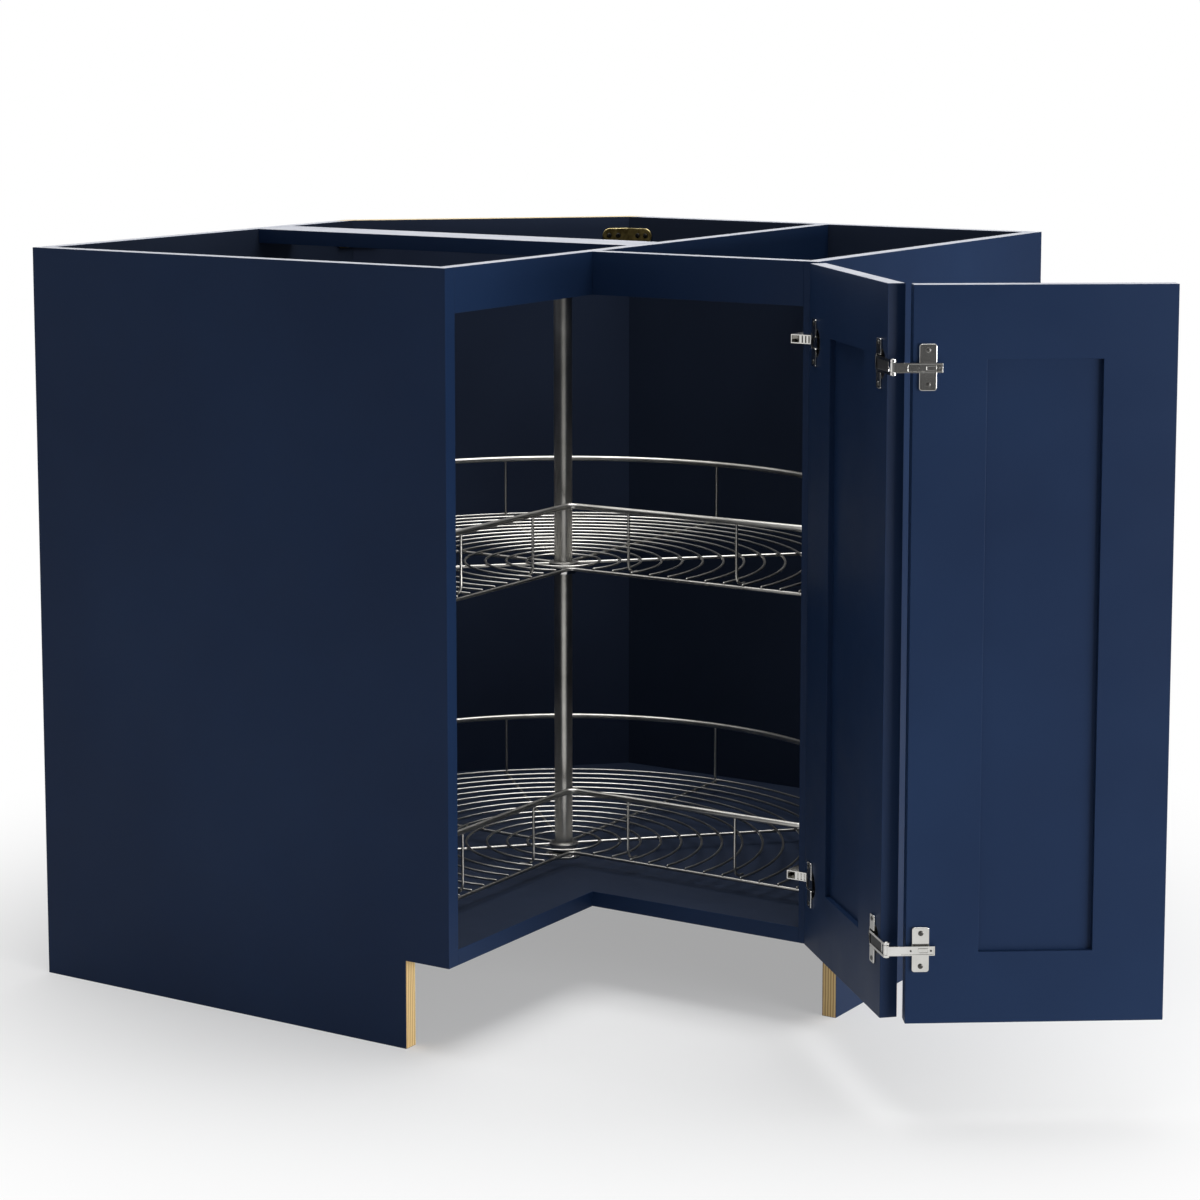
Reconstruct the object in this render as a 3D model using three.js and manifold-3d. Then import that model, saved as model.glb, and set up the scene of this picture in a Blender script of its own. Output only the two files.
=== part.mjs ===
// Corner carousel cabinet: an L-shaped kitchen base unit for a room corner, with a folding pair of
// doors and two pie-cut wire shelves that turn on one pole.
//
// Millimetres, +Z up. A plan place is given as (a, b): a runs out from the room corner along the right
// wall and b along the left wall, so x = a and y = -b. The doors stand open, folded back to the right.

import * as THREE from "three";
import { mergeVertices } from "three/addons/utils/BufferGeometryUtils.js";
import Module from "manifold-3d";

const wasm = await Module();
wasm.setup();

// ---- carcass -----------------------------------------------------------------------------------
const HEIGHT = 876.3; // floor to the top edges
const WALL_SIDE = 885; // length along each wall
const DEPTH = 590.5; // wall to the open front edges
const BOARD = 18; // thickness of every carcass board
const CORNER_CUT = 277; // cut off along each wall at the room corner
const TOE_HEIGHT = 101.6; // toe space under the floor panel
const TOE_RECESS = 59; // toe space, front to back
const RAIL_HEIGHT = 50; // front rails at the top
const STRETCHER_WIDTH = 70; // flat board that holds the top of the pole
const FIT = 0.3; // clearance where pieces fit but don't bear flat

// ---- corner brackets ---------------------------------------------------------------------------
const BRACKET_LEG = 37; // from the bend to the round end
const BRACKET_HEIGHT = 20;
const BRACKET_STEEL = 2.5;
const BRACKET_DROP = 25; // top edges down to the bracket's middle

// ---- pole and its fittings ---------------------------------------------------------------------
const POLE_FORWARD = 31.5; // pole past the middle of each wall side
const POLE_PLACE = WALL_SIDE / 2 + POLE_FORWARD; // a and b of the pole
const POLE_RADIUS = 11;
const POLE_WALL = 1.2;
const FLANGE_RADIUS = 22; // base and top flanges
const FLANGE_STEEL = 3;
const SOCKET_WALL = 3.4; // round the pole
const BASE_SOCKET_HEIGHT = 2.5;
const TOP_SOCKET_HEIGHT = 20;
const BEARING_WALL = 2.7;
const COLLAR_WALL = 4.7;
const COLLAR_HEIGHT = 8;

// ---- wire shelves ------------------------------------------------------------------------------
const LOWER_SHELF_RISE = 18.4; // floor panel up to the ring wires' middle
const LOWER_SHELF = TOE_HEIGHT + BOARD + LOWER_SHELF_RISE;
const SHELF_SPACING = 350;
const UPPER_SHELF = LOWER_SHELF + SHELF_SPACING;
const NOTCH_OFFSET = 30; // notch edges to the pole's middle
const RING_SMALLEST = 45; // no ring wire is smaller than this radius
const RING_PITCH = 25; // counted inwards from the rim
const RING_WIRE = 3; // diameters
const SUPPORT_WIRE = 4;
const POST_WIRE = 3;
const GUARD_WIRE = 7;
const SHELF_CLEARANCE = 19.5; // guard rail to the side panels
const SHELF_RADIUS = WALL_SIDE - BOARD - POLE_PLACE - SHELF_CLEARANCE - GUARD_WIRE / 2;
const GUARD_HEIGHT = 74; // guard rail over the ring wires
const GUARD_APEX_BEND = 12;
const GUARD_OUTER_BEND = 25;
const NOTCH_WIRE_BEND = 8;
const POST_NEAR = 112; // posts along each notch edge, from the pole
const POST_FAR = 260;
const WELD_DEPTH = 0.3; // one wire sinks this far into the next
const HUB_RADIUS = 18;
const HUB_THICKNESS = 3.6;
const HUB_SLEEVE_WALL = 3.7;
const HUB_SLEEVE_HEIGHT = 2;
const ARC_SAG = 2; // a bent wire's chord stays this close to its circle

// ---- doors -------------------------------------------------------------------------------------
const LEAF_THICKNESS = 19;
const LEAF_GAP = 3; // closed leaf to the cabinet's front edges
const LEAF_CORNER_GAP = 1; // leaf edge past the other leaf's outer face
const LEAF_REVEAL = 0.5; // leaf edge to the cabinet's outer face
const FOLD_EDGE = DEPTH + LEAF_GAP + LEAF_THICKNESS + LEAF_CORNER_GAP;
const LEAF_WIDTH = WALL_SIDE - LEAF_REVEAL - FOLD_EDGE;
const LEAF_LIFT = 3; // leaf over the toe space
const LEAF_BOTTOM = TOE_HEIGHT + LEAF_LIFT;
const LEAF_DROP = 1.2; // leaf under the cabinet's top edges
const LEAF_TOP = HEIGHT - LEAF_DROP;
const FRAME_WIDTH = 76; // stiles and rails
const PANEL_THICKNESS = 7;
const GROOVE_DEPTH = 8;
const FIRST_LEAF_OPEN = THREE.MathUtils.degToRad(135.5);
const SECOND_LEAF_OPEN = THREE.MathUtils.degToRad(10.4);

// ---- hinges ------------------------------------------------------------------------------------
const CABINET_HINGE_ENDS = { lower: 75.4, upper: 85.1 }; // leaf ends to the hinges' middles
const FOLD_HINGE_ENDS = { lower: 79.9, upper: 83.6 };
const SWING_PIN_INSET = 1; // pin to the cabinet's outer face
const SWING_PIN_DEPTH = 4.5; // pin behind the leaf's inner face
const PIN_RADIUS = 1.3;
const SWING_KNUCKLE = 3; // outer radii round the pins
const FOLD_KNUCKLE = 3.5;
const ARM_HEIGHT = 10; // between the two fork plates
const FORK_PLATE = 2.7;
const CUP_RADIUS = 17.5;
const CUP_WALL = 1;
const CUP_DEPTH = 11.5;
const CUP_PROUD = 1.2; // rim and ears over the leaf's face
const CUP_INSET = 22.5; // leaf edge to the cup's middle
const EAR_WIDTH = 14;
const EAR_REACH = 26; // from the cup's middle
const STRAP_STEEL = 2;
const PLATE_STEEL = 2.5;
const PLATE_WIDTH = 18;
const PLATE_HEIGHT = 48;
const SWING_ARM_THICKNESS = 11.5;
const SWING_ARM_LENGTH = 42;
const FOLD_ARM_THICKNESS = 4.3;
const FOLD_ARM_LENGTH = 29.5; // past the second leaf's edge
const FOLD_PLATE_INSET = 15.2; // leaf edge to the plate's middle

// ---- finishes ----------------------------------------------------------------------------------
function finish(color, roughness, metalness) {
  return () => new THREE.MeshStandardMaterial({ color, roughness, metalness });
}
const navyPaint = finish(0x22304f, 0.45, 0);
const brushedNickel = finish(0xb9b4aa, 0.35, 1);
const chrome = finish(0xd9dadc, 0.15, 1);
const antiqueBrass = finish(0x8a7d4f, 0.5, 1);
const blackPlastic = finish(0x202022, 0.6, 0);

// ---- solids ------------------------------------------------------------------------------------
const STRAIGHT_SIDES = 4;
const POLE_SIDES = 16;
const PIN_SIDES = 12;
const CUP_SIDES = 16;

/** Turns a geometry into a closed solid that can be joined and cut. */
function solid(geometry) {
  const bare = geometry.clone();
  bare.deleteAttribute("normal");
  bare.deleteAttribute("uv");
  const merged = mergeVertices(bare);
  const vertProperties = Float32Array.from(merged.attributes.position.array);
  const triVerts = Uint32Array.from(merged.index.array);
  return new wasm.Manifold(new wasm.Mesh({ numProp: 3, vertProperties, triVerts }));
}

function join(geometries) {
  return geometries.map(solid).reduce((whole, next) => whole.add(next));
}

function cut(body, geometries) {
  return geometries.map(solid).reduce((rest, next) => rest.subtract(next), body);
}

/** The geometry of a joined or cut solid. */
function shapeOf(body) {
  const mesh = body.getMesh();
  const geometry = new THREE.BufferGeometry();
  geometry.setAttribute("position", new THREE.BufferAttribute(mesh.vertProperties, 3));
  geometry.setIndex(new THREE.BufferAttribute(mesh.triVerts, 1));
  geometry.computeVertexNormals();
  return geometry;
}

function at(a, b, z) {
  return new THREE.Vector3(a, -b, z);
}

function extruded(outline, depth) {
  const shape = new THREE.Shape(outline.map(([u, v]) => new THREE.Vector2(u, v)));
  return new THREE.ExtrudeGeometry(shape, { depth, bevelEnabled: false });
}

/** A board lying flat: outline in (a, b). */
function levelBoard(outline, bottom, top) {
  const plan = outline.map(([a, b]) => [a, -b]);
  return extruded(plan, top - bottom).translate(0, 0, bottom);
}

/** A board standing across the a direction: outline in (b, z). */
function boardAcrossA(outline, from, to) {
  const basis = new THREE.Matrix4().makeBasis(at(0, -1, 0), at(0, 0, 1), at(1, 0, 0));
  const plan = outline.map(([b, z]) => [-b, z]);
  return extruded(plan, to - from).applyMatrix4(basis).translate(from, 0, 0);
}

/** A board standing across the b direction: outline in (a, z). */
function boardAcrossB(outline, from, to) {
  const basis = new THREE.Matrix4().makeBasis(at(1, 0, 0), at(0, 0, 1), at(0, 1, 0));
  return extruded(outline, to - from).applyMatrix4(basis).translate(0, -from, 0);
}

function block([a0, a1], [b0, b1], [z0, z1]) {
  const geometry = new THREE.BoxGeometry(a1 - a0, b1 - b0, z1 - z0);
  return geometry.translate((a0 + a1) / 2, -(b0 + b1) / 2, (z0 + z1) / 2);
}

/** A piece turned round the Z axis: profile of [radius, height] points, from axis to axis or round a bore. */
function lathed(profile, sides) {
  const round = profile[0][0] > 0 ? [...profile, profile[0]] : profile;
  const points = round.map(([r, z]) => new THREE.Vector2(r, z));
  return new THREE.LatheGeometry(points, sides).rotateX(Math.PI / 2);
}

function turned(profile, a, b, sides = POLE_SIDES) {
  return lathed(profile, sides).translate(a, -b, 0);
}

function ringProfile(inner, outer, bottom, top) {
  return [[inner, bottom], [outer, bottom], [outer, top], [inner, top]];
}

function disc(radius, a, b, bottom, top) {
  return turned([[0, bottom], [radius, bottom], [radius, top], [0, top]], a, b, PIN_SIDES);
}

/** A wire bent at each of its points, with one ring of its section at every bend. */
class BentWire extends THREE.Curve {
  constructor(points) {
    super();
    this.points = points;
  }

  getUtoTmapping(u) {
    return u;
  }

  getPoint(t, target = new THREE.Vector3()) {
    const place = t * (this.points.length - 1);
    const index = Math.min(Math.floor(place), this.points.length - 2);
    return target.lerpVectors(this.points[index], this.points[index + 1], place - index);
  }

  getTangent(t, target = new THREE.Vector3()) {
    const index = Math.round(t * (this.points.length - 1));
    const here = this.points[index];
    const before = this.points[Math.max(index - 1, 0)];
    const after = this.points[Math.min(index + 1, this.points.length - 1)];
    const arriving = here.clone().sub(before).normalize();
    const leaving = after.clone().sub(here).normalize();
    return target.addVectors(arriving, leaving).normalize();
  }
}

/** Half the width across the flats of a wire's section, which has the round wire's area. */
function halfFlat(diameter, sides = STRAIGHT_SIDES) {
  const area = Math.PI * (diameter / 2) ** 2;
  return Math.sqrt(area / (sides * Math.tan(Math.PI / sides)));
}

function wire(points, diameter, sides = STRAIGHT_SIDES) {
  const corner = halfFlat(diameter, sides) / Math.cos(Math.PI / sides);
  const outline = Array.from({ length: sides }, (_, index) => {
    const angle = (2 * Math.PI * (index + 0.5)) / sides;
    return [corner * Math.cos(angle), corner * Math.sin(angle)];
  });
  const shape = new THREE.Shape(outline.map(([u, v]) => new THREE.Vector2(u, v)));
  const extrudePath = new BentWire(points);
  return new THREE.ExtrudeGeometry(shape, { extrudePath, steps: points.length - 1, bevelEnabled: false });
}

/** Places along an arc in the plane, ends included, near enough together to keep to ARC_SAG. */
function arc([centreP, centreQ], radius, from, to) {
  const widest = 2 * Math.acos(1 - Math.min(ARC_SAG / radius, 0.15));
  const steps = Math.ceil(Math.abs(to - from) / widest);
  return Array.from({ length: steps + 1 }, (_, index) => {
    const angle = from + ((to - from) * index) / steps;
    return [centreP + radius * Math.cos(angle), centreQ + radius * Math.sin(angle)];
  });
}

// ---- assembly ----------------------------------------------------------------------------------
const cabinet = new THREE.Group();

function piece(name, shape, makeFinish, place = cabinet) {
  const geometry = shape.isBufferGeometry ? shape : shapeOf(shape);
  const mesh = new THREE.Mesh(geometry, makeFinish());
  mesh.name = name;
  place.add(mesh);
}

/** A group whose contents are written in closed places and turned about a vertical pin. */
function turnedGroup(parent, pin, angle) {
  const pivot = new THREE.Group();
  pivot.position.copy(at(pin.a, pin.b, 0));
  pivot.rotation.z = angle;
  const contents = new THREE.Group();
  contents.position.copy(at(-pin.a, -pin.b, 0));
  pivot.add(contents);
  parent.add(pivot);
  return contents;
}

const insideFace = WALL_SIDE - BOARD; // side panels' inner faces
const floorTop = TOE_HEIGHT + BOARD;
const railBottom = HEIGHT - RAIL_HEIGHT;
const stretcherBottom = HEIGHT - BOARD;
const innerFront = DEPTH + LEAF_GAP; // inner face of a closed leaf
const outerEdge = FOLD_EDGE + LEAF_WIDTH;
const swingPin = { a: WALL_SIDE - SWING_PIN_INSET, b: innerFront + SWING_PIN_DEPTH };
const foldPin = { a: innerFront, b: innerFront };

function fromLeafEnds({ lower, upper }) {
  return { lower: LEAF_BOTTOM + lower, upper: LEAF_TOP - upper };
}
const cabinetHingeHeights = fromLeafEnds(CABINET_HINGE_ENDS);
const foldHingeHeights = fromLeafEnds(FOLD_HINGE_ENDS);

function swapped(outline) {
  return outline.map(([a, b]) => [b, a]);
}

// ---- carcass boards ----------------------------------------------------------------------------
function carcass() {
  const side = [
    [0, 0],
    [DEPTH - TOE_RECESS, 0],
    [DEPTH - TOE_RECESS, TOE_HEIGHT],
    [DEPTH, TOE_HEIGHT],
    [DEPTH, HEIGHT],
    [0, HEIGHT],
  ];
  piece("left_side_panel", boardAcrossB(side, insideFace, WALL_SIDE), navyPaint);
  piece("right_side_panel", boardAcrossA(side, insideFace, WALL_SIDE), navyPaint);

  const diagonalReach = CORNER_CUT + BOARD * Math.SQRT2;
  const mitre = diagonalReach + FIT * Math.SQRT2; // a + b along the boards that meet the diagonal one
  const back = [
    [0, mitre],
    [BOARD, mitre - BOARD],
    [BOARD, insideFace],
    [0, insideFace],
  ];
  piece("left_back_panel", levelBoard(back, 0, HEIGHT), navyPaint);
  piece("right_back_panel", levelBoard(swapped(back), 0, HEIGHT), navyPaint);

  const diagonal = [
    [0, CORNER_CUT],
    [0, diagonalReach],
    [diagonalReach, 0],
    [CORNER_CUT, 0],
  ];
  piece("diagonal_back_panel", levelBoard(diagonal, 0, HEIGHT), navyPaint);

  const floor = [
    [mitre - BOARD, BOARD],
    [insideFace, BOARD],
    [insideFace, DEPTH],
    [DEPTH, DEPTH],
    [DEPTH, insideFace],
    [BOARD, insideFace],
    [BOARD, mitre - BOARD],
  ];
  piece("floor_panel", levelBoard(floor, TOE_HEIGHT, floorTop), navyPaint);

  const front = [DEPTH - BOARD, DEPTH];
  const railSpan = [railBottom, HEIGHT];
  piece("long_front_rail", block(front, [BOARD, insideFace], railSpan), navyPaint);
  piece("short_front_rail", block([DEPTH, insideFace], front, railSpan), navyPaint);

  const poleFace = POLE_PLACE + POLE_RADIUS;
  const stretcher = block(
    [BOARD, DEPTH - BOARD],
    [poleFace - STRETCHER_WIDTH, poleFace],
    [stretcherBottom, HEIGHT],
  );
  piece("pole_stretcher", stretcher, navyPaint);
}

/** A steel strip bent over the joint of the diagonal panel and a back panel. */
function cornerBracket(name, mirrored) {
  const bendA = CORNER_CUT + BOARD * Math.SQRT2 - BOARD;
  const slope = Math.SQRT1_2;
  const turn = Math.tan(Math.PI / 8);
  const near = FIT;
  const far = FIT + BRACKET_STEEL;
  const straight = (reach, offset) => [bendA + reach, BOARD + offset];
  const slanted = (reach, offset) => [
    bendA - (reach - offset) * slope,
    BOARD + (reach + offset) * slope,
  ];
  const plan = [
    straight(near * turn, near),
    straight(BRACKET_LEG, near),
    straight(BRACKET_LEG, far),
    straight(far * turn, far),
    slanted(BRACKET_LEG, far),
    slanted(BRACKET_LEG, near),
  ];
  const middle = HEIGHT - BRACKET_DROP;
  const span = [middle - BRACKET_HEIGHT / 2, middle + BRACKET_HEIGHT / 2];
  const outline = mirrored ? swapped(plan) : plan;
  piece(name, levelBoard(outline, ...span), antiqueBrass);
}

// ---- pole --------------------------------------------------------------------------------------
function poleAndFittings() {
  const place = [POLE_PLACE, POLE_PLACE];
  const bore = POLE_RADIUS + FIT;
  const seat = floorTop + FLANGE_STEEL;

  const tube = ringProfile(POLE_RADIUS - POLE_WALL, POLE_RADIUS, seat, stretcherBottom);
  piece("pole", turned(tube, ...place), brushedNickel);

  const socketTop = seat + BASE_SOCKET_HEIGHT;
  const base = [
    [0, floorTop],
    [FLANGE_RADIUS, floorTop],
    [FLANGE_RADIUS, seat],
    [bore + SOCKET_WALL, seat],
    [bore + SOCKET_WALL, socketTop],
    [bore, socketTop],
    [bore, seat],
    [0, seat],
  ];
  piece("pole_base_flange", turned(base, ...place), brushedNickel);

  const flangeBottom = stretcherBottom - FLANGE_STEEL;
  const top = [
    [bore, flangeBottom - TOP_SOCKET_HEIGHT],
    [bore + SOCKET_WALL, flangeBottom - TOP_SOCKET_HEIGHT],
    [bore + SOCKET_WALL, flangeBottom],
    [FLANGE_RADIUS, flangeBottom],
    [FLANGE_RADIUS, stretcherBottom],
    [bore, stretcherBottom],
  ];
  piece("pole_top_socket", turned(top, ...place), brushedNickel);

  const bearing = ringProfile(bore, bore + BEARING_WALL, socketTop, sleeveBottom(LOWER_SHELF) - FIT);
  piece("lower_shelf_bearing", turned(bearing, ...place), blackPlastic);

  const collarTop = sleeveBottom(UPPER_SHELF) - FIT;
  const collar = ringProfile(bore, bore + COLLAR_WALL, collarTop - COLLAR_HEIGHT, collarTop);
  piece("upper_shelf_collar", turned(collar, ...place), chrome);
}

// ---- wire shelves ------------------------------------------------------------------------------
// Shelf places are (p, q): a and b counted from the pole.
const supportDrop = halfFlat(RING_WIRE) + halfFlat(SUPPORT_WIRE) - WELD_DEPTH; // under the ring wires
const DIAGONAL = Math.PI / 4;
const BACKWARDS = DIAGONAL - Math.PI; // away from the notch

function sleeveBottom(level) {
  return level - supportDrop - HUB_THICKNESS / 2 - HUB_SLEEVE_HEIGHT;
}

function onShelf(places, z) {
  return places.map(([p, q]) => at(POLE_PLACE + p, POLE_PLACE + q, z));
}

function notchReach(radius) {
  return Math.sqrt(radius ** 2 - NOTCH_OFFSET ** 2);
}

function ringWires(level) {
  const rings = [];
  for (let radius = SHELF_RADIUS; radius >= RING_SMALLEST; radius -= RING_PITCH) {
    const start = Math.asin(NOTCH_OFFSET / radius);
    const end = Math.PI / 2 - start - 2 * Math.PI;
    rings.push(wire(onShelf(arc([0, 0], radius, start, end), level), RING_WIRE));
  }
  return rings;
}

function supportWires(level) {
  const z = level - supportDrop;
  const outer = SHELF_RADIUS + halfFlat(RING_WIRE);
  return [1, 2, 3, 4, 5].map((step) => {
    const angle = -step * DIAGONAL;
    const along = (reach) => [reach * Math.cos(angle), reach * Math.sin(angle)];
    return wire(onShelf([along(HUB_RADIUS + FIT), along(outer)], z), SUPPORT_WIRE);
  });
}

function notchWire(level) {
  const bendCentre = NOTCH_OFFSET + NOTCH_WIRE_BEND;
  const bend = arc([bendCentre, bendCentre], NOTCH_WIRE_BEND, -Math.PI / 2, -Math.PI);
  const end = notchReach(SHELF_RADIUS + halfFlat(RING_WIRE));
  const places = [[end, NOTCH_OFFSET], ...bend, [NOTCH_OFFSET, end]];
  return wire(onShelf(places, level - supportDrop), SUPPORT_WIRE);
}

/** A quarter of the shelf, clockwise from an angle. Each keeps the support wire on its own first edge. */
function quarter(level, from, first, last) {
  const keep = halfFlat(SUPPORT_WIRE) + FIT / 3;
  const over = first ? -FIT / 2 : keep;
  const short = last ? FIT / 2 : keep + FIT;
  const ahead = [Math.cos(from), Math.sin(from)];
  const aside = [Math.sin(from), -Math.cos(from)];
  const far = 2 * SHELF_RADIUS;
  const place = (alongFirst, alongLast) => [
    POLE_PLACE + alongFirst * ahead[0] + alongLast * aside[0],
    POLE_PLACE + alongFirst * ahead[1] + alongLast * aside[1],
  ];
  const outline = [place(short, -over), place(far, -over), place(far, far), place(short, far)];
  return solid(levelBoard(outline, level - GUARD_HEIGHT, level + GUARD_HEIGHT));
}

/** Half of the guard rail's loop, from the notch apex round to the back. */
function guardHalf(mirrored) {
  const apexCentre = NOTCH_OFFSET + GUARD_APEX_BEND;
  const apex = arc([apexCentre, apexCentre], GUARD_APEX_BEND, BACKWARDS, -Math.PI / 2);
  const bendRadius = SHELF_RADIUS - GUARD_OUTER_BEND;
  const bendQ = NOTCH_OFFSET - GUARD_OUTER_BEND;
  const bendP = Math.sqrt(bendRadius ** 2 - bendQ ** 2);
  const meet = Math.atan2(bendQ, bendP);
  const outer = arc([bendP, bendQ], GUARD_OUTER_BEND, Math.PI / 2, meet);
  const round = arc([0, 0], SHELF_RADIUS, meet, BACKWARDS);
  const lap = WELD_DEPTH * Math.SQRT1_2; // the halves lap at both ends
  const start = [apex[0][0] - lap, apex[0][1] + lap];
  const end = [round.at(-1)[0] - lap, round.at(-1)[1] + lap];
  const places = [start, ...apex.slice(1), ...outer, ...round.slice(1, -1), end];
  return mirrored ? swapped(places) : places;
}

function guardRail(level) {
  const z = level + GUARD_HEIGHT;
  const footZ = level + halfFlat(RING_WIRE) + FIT;
  const feet = [];
  for (const reach of [POST_NEAR, POST_FAR]) {
    feet.push([reach, NOTCH_OFFSET], [NOTCH_OFFSET, reach]);
  }
  for (const step of [1, 2, 3, 4, 5]) {
    const angle = -step * DIAGONAL;
    feet.push([SHELF_RADIUS * Math.cos(angle), SHELF_RADIUS * Math.sin(angle)]);
  }
  const halves = [false, true].map((mirrored) => wire(onShelf(guardHalf(mirrored), z), GUARD_WIRE, 6));
  const posts = feet.map((foot) => wire([...onShelf([foot], footZ), ...onShelf([foot], z)], POST_WIRE));
  return join([...halves, ...posts]);
}

function hub(level) {
  const bore = POLE_RADIUS + FIT;
  const middle = level - supportDrop;
  const top = middle + HUB_THICKNESS / 2;
  const bottom = middle - HUB_THICKNESS / 2;
  const profile = [
    [bore, sleeveBottom(level)],
    [bore + HUB_SLEEVE_WALL, sleeveBottom(level)],
    [bore + HUB_SLEEVE_WALL, bottom],
    [HUB_RADIUS, bottom],
    [HUB_RADIUS, top],
    [bore, top],
  ];
  return turned(profile, POLE_PLACE, POLE_PLACE);
}

function wireShelf(name, level) {
  const wires = join([...ringWires(level), ...supportWires(level), notchWire(level)]);
  const quarters = ["right_front", "right_back", "left_back", "left_front"];
  quarters.forEach((quarterName, index) => {
    const from = DIAGONAL - (index * Math.PI) / 2;
    const wedge = quarter(level, from, index === 0, index === quarters.length - 1);
    piece(`${name}_wires_${quarterName}`, wires.intersect(wedge), brushedNickel);
  });
  piece(`${name}_guard_rail`, guardRail(level), brushedNickel);
  piece(`${name}_hub`, hub(level), brushedNickel);
}

// ---- door leaves -------------------------------------------------------------------------------
// Leaf places are (u, v): u from the fold edge to the outer edge, v from the inner face outwards. The
// first leaf closes the right leg of the L and lies along a, the second closes the left and lies along b.
function leafBlock(second, [u0, u1], [v0, v1], zSpan) {
  const along = [FOLD_EDGE + u0, FOLD_EDGE + u1];
  const through = [innerFront + v0, innerFront + v1];
  return second ? block(through, along, zSpan) : block(along, through, zSpan);
}

/** A round bore or cup in the first leaf's inner face: profile of [radius, depth] points. */
function turnedInLeaf(profile, along, z) {
  return lathed(profile, CUP_SIDES).rotateX(Math.PI / 2).translate(along, -innerFront, z);
}

function cupBore(along, z) {
  const radius = CUP_RADIUS + FIT;
  const depth = CUP_DEPTH + FIT;
  return turnedInLeaf([[0, -CUP_PROUD], [radius, -CUP_PROUD], [radius, depth], [0, depth]], along, z);
}

const swingCupPlace = outerEdge - CUP_INSET;
const foldCupPlace = FOLD_EDGE + CUP_INSET;
const forkReach = ARM_HEIGHT / 2 + FIT + FORK_PLATE; // pin ends, from the hinge's middle

function leaf(name, second, group) {
  const middle = LEAF_THICKNESS / 2;
  const grooveHalf = PANEL_THICKNESS / 2 + FIT;
  const groove = [middle - grooveHalf, middle + grooveHalf];
  const tongue = [middle - PANEL_THICKNESS / 2, middle + PANEL_THICKNESS / 2];
  const through = [0, LEAF_THICKNESS];
  const height = [LEAF_BOTTOM, LEAF_TOP];
  const shy = GROOVE_DEPTH - FIT; // how far a tongue or panel edge enters its groove
  const inner = [FRAME_WIDTH, LEAF_WIDTH - FRAME_WIDTH];
  const along = (u0, u1, v, z) => leafBlock(second, [u0, u1], v, z);

  const foldGroove = along(inner[0] - GROOVE_DEPTH, inner[0] + FIT, groove, height);
  const outerGroove = along(inner[1] - FIT, inner[1] + GROOVE_DEPTH, groove, height);
  let foldStile = cut(solid(along(0, inner[0], through, height)), [foldGroove]);
  let outerStile = cut(solid(along(inner[1], LEAF_WIDTH, through, height)), [outerGroove]);
  if (!second) {
    foldStile = cut(foldStile, Object.values(foldHingeHeights).map((z) => cupBore(foldCupPlace, z)));
    for (const z of Object.values(cabinetHingeHeights)) {
      outerStile = cut(outerStile, [cupBore(swingCupPlace, z), knucklePocket(z)]);
    }
  }
  piece(`${name}_fold_stile`, foldStile, navyPaint, group);
  piece(`${name}_outer_stile`, outerStile, navyPaint, group);

  const shoulders = [inner[0] + FIT, inner[1] - FIT];
  const tips = [inner[0] - shy, inner[1] + shy];
  const openings = [LEAF_BOTTOM + FRAME_WIDTH, LEAF_TOP - FRAME_WIDTH];
  const railSpans = { bottom: [LEAF_BOTTOM, openings[0]], top: [openings[1], LEAF_TOP] };
  const railGrooves = {
    bottom: [openings[0] - GROOVE_DEPTH, openings[0] + FIT],
    top: [openings[1] - FIT, openings[1] + GROOVE_DEPTH],
  };
  for (const [end, span] of Object.entries(railSpans)) {
    const rail = join([along(...shoulders, through, span), along(...tips, tongue, span)]);
    const panelGroove = along(tips[0] - FIT, tips[1] + FIT, groove, railGrooves[end]);
    piece(`${name}_${end}_rail`, cut(rail, [panelGroove]), navyPaint, group);
  }
  const panel = along(...tips, tongue, [openings[0] - shy, openings[1] + shy]);
  piece(`${name}_panel`, panel, navyPaint, group);
}

// ---- hinges ------------------------------------------------------------------------------------
/** Room for the turning knuckle, from the first leaf's outer edge into its cup bore. */
function knucklePocket(z) {
  const reach = forkReach + 3 * FIT;
  const back = swingCupPlace + CUP_RADIUS / 2;
  const depth = innerFront + 2 * SWING_PIN_DEPTH;
  return block([back, outerEdge + FIT], [innerFront - FIT, depth], [z - reach, z + reach]);
}

function knuckle(pin, radius, bottom, top) {
  return disc(radius, pin.a, pin.b, bottom, top);
}

function pinHole(pin, z) {
  const reach = forkReach + FIT;
  return disc(PIN_RADIUS + FIT, pin.a, pin.b, z - reach, z + reach);
}

function forkSpans(z) {
  const inner = ARM_HEIGHT / 2 + FIT;
  return [[z + inner, z + forkReach], [z - forkReach, z - inner]];
}

/** A hollow cup sunk in a leaf, with the two ears that are screwed to it. */
function cupAndEars(along, z) {
  const inner = CUP_RADIUS - CUP_WALL;
  const rim = -CUP_PROUD;
  const profile = [
    [0, CUP_DEPTH - CUP_WALL],
    [inner, CUP_DEPTH - CUP_WALL],
    [inner, rim],
    [CUP_RADIUS, rim],
    [CUP_RADIUS, CUP_DEPTH],
    [0, CUP_DEPTH],
  ];
  const cup = turnedInLeaf(profile, along, z);
  const ears = [-1, 1].map((side) => {
    const ends = [z + side * (inner - CUP_WALL), z + side * EAR_REACH].sort((low, high) => low - high);
    const faces = [innerFront - CUP_PROUD, innerFront - FIT];
    return block([along - EAR_WIDTH / 2, along + EAR_WIDTH / 2], faces, ends);
  });
  return { cup, ears };
}

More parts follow.
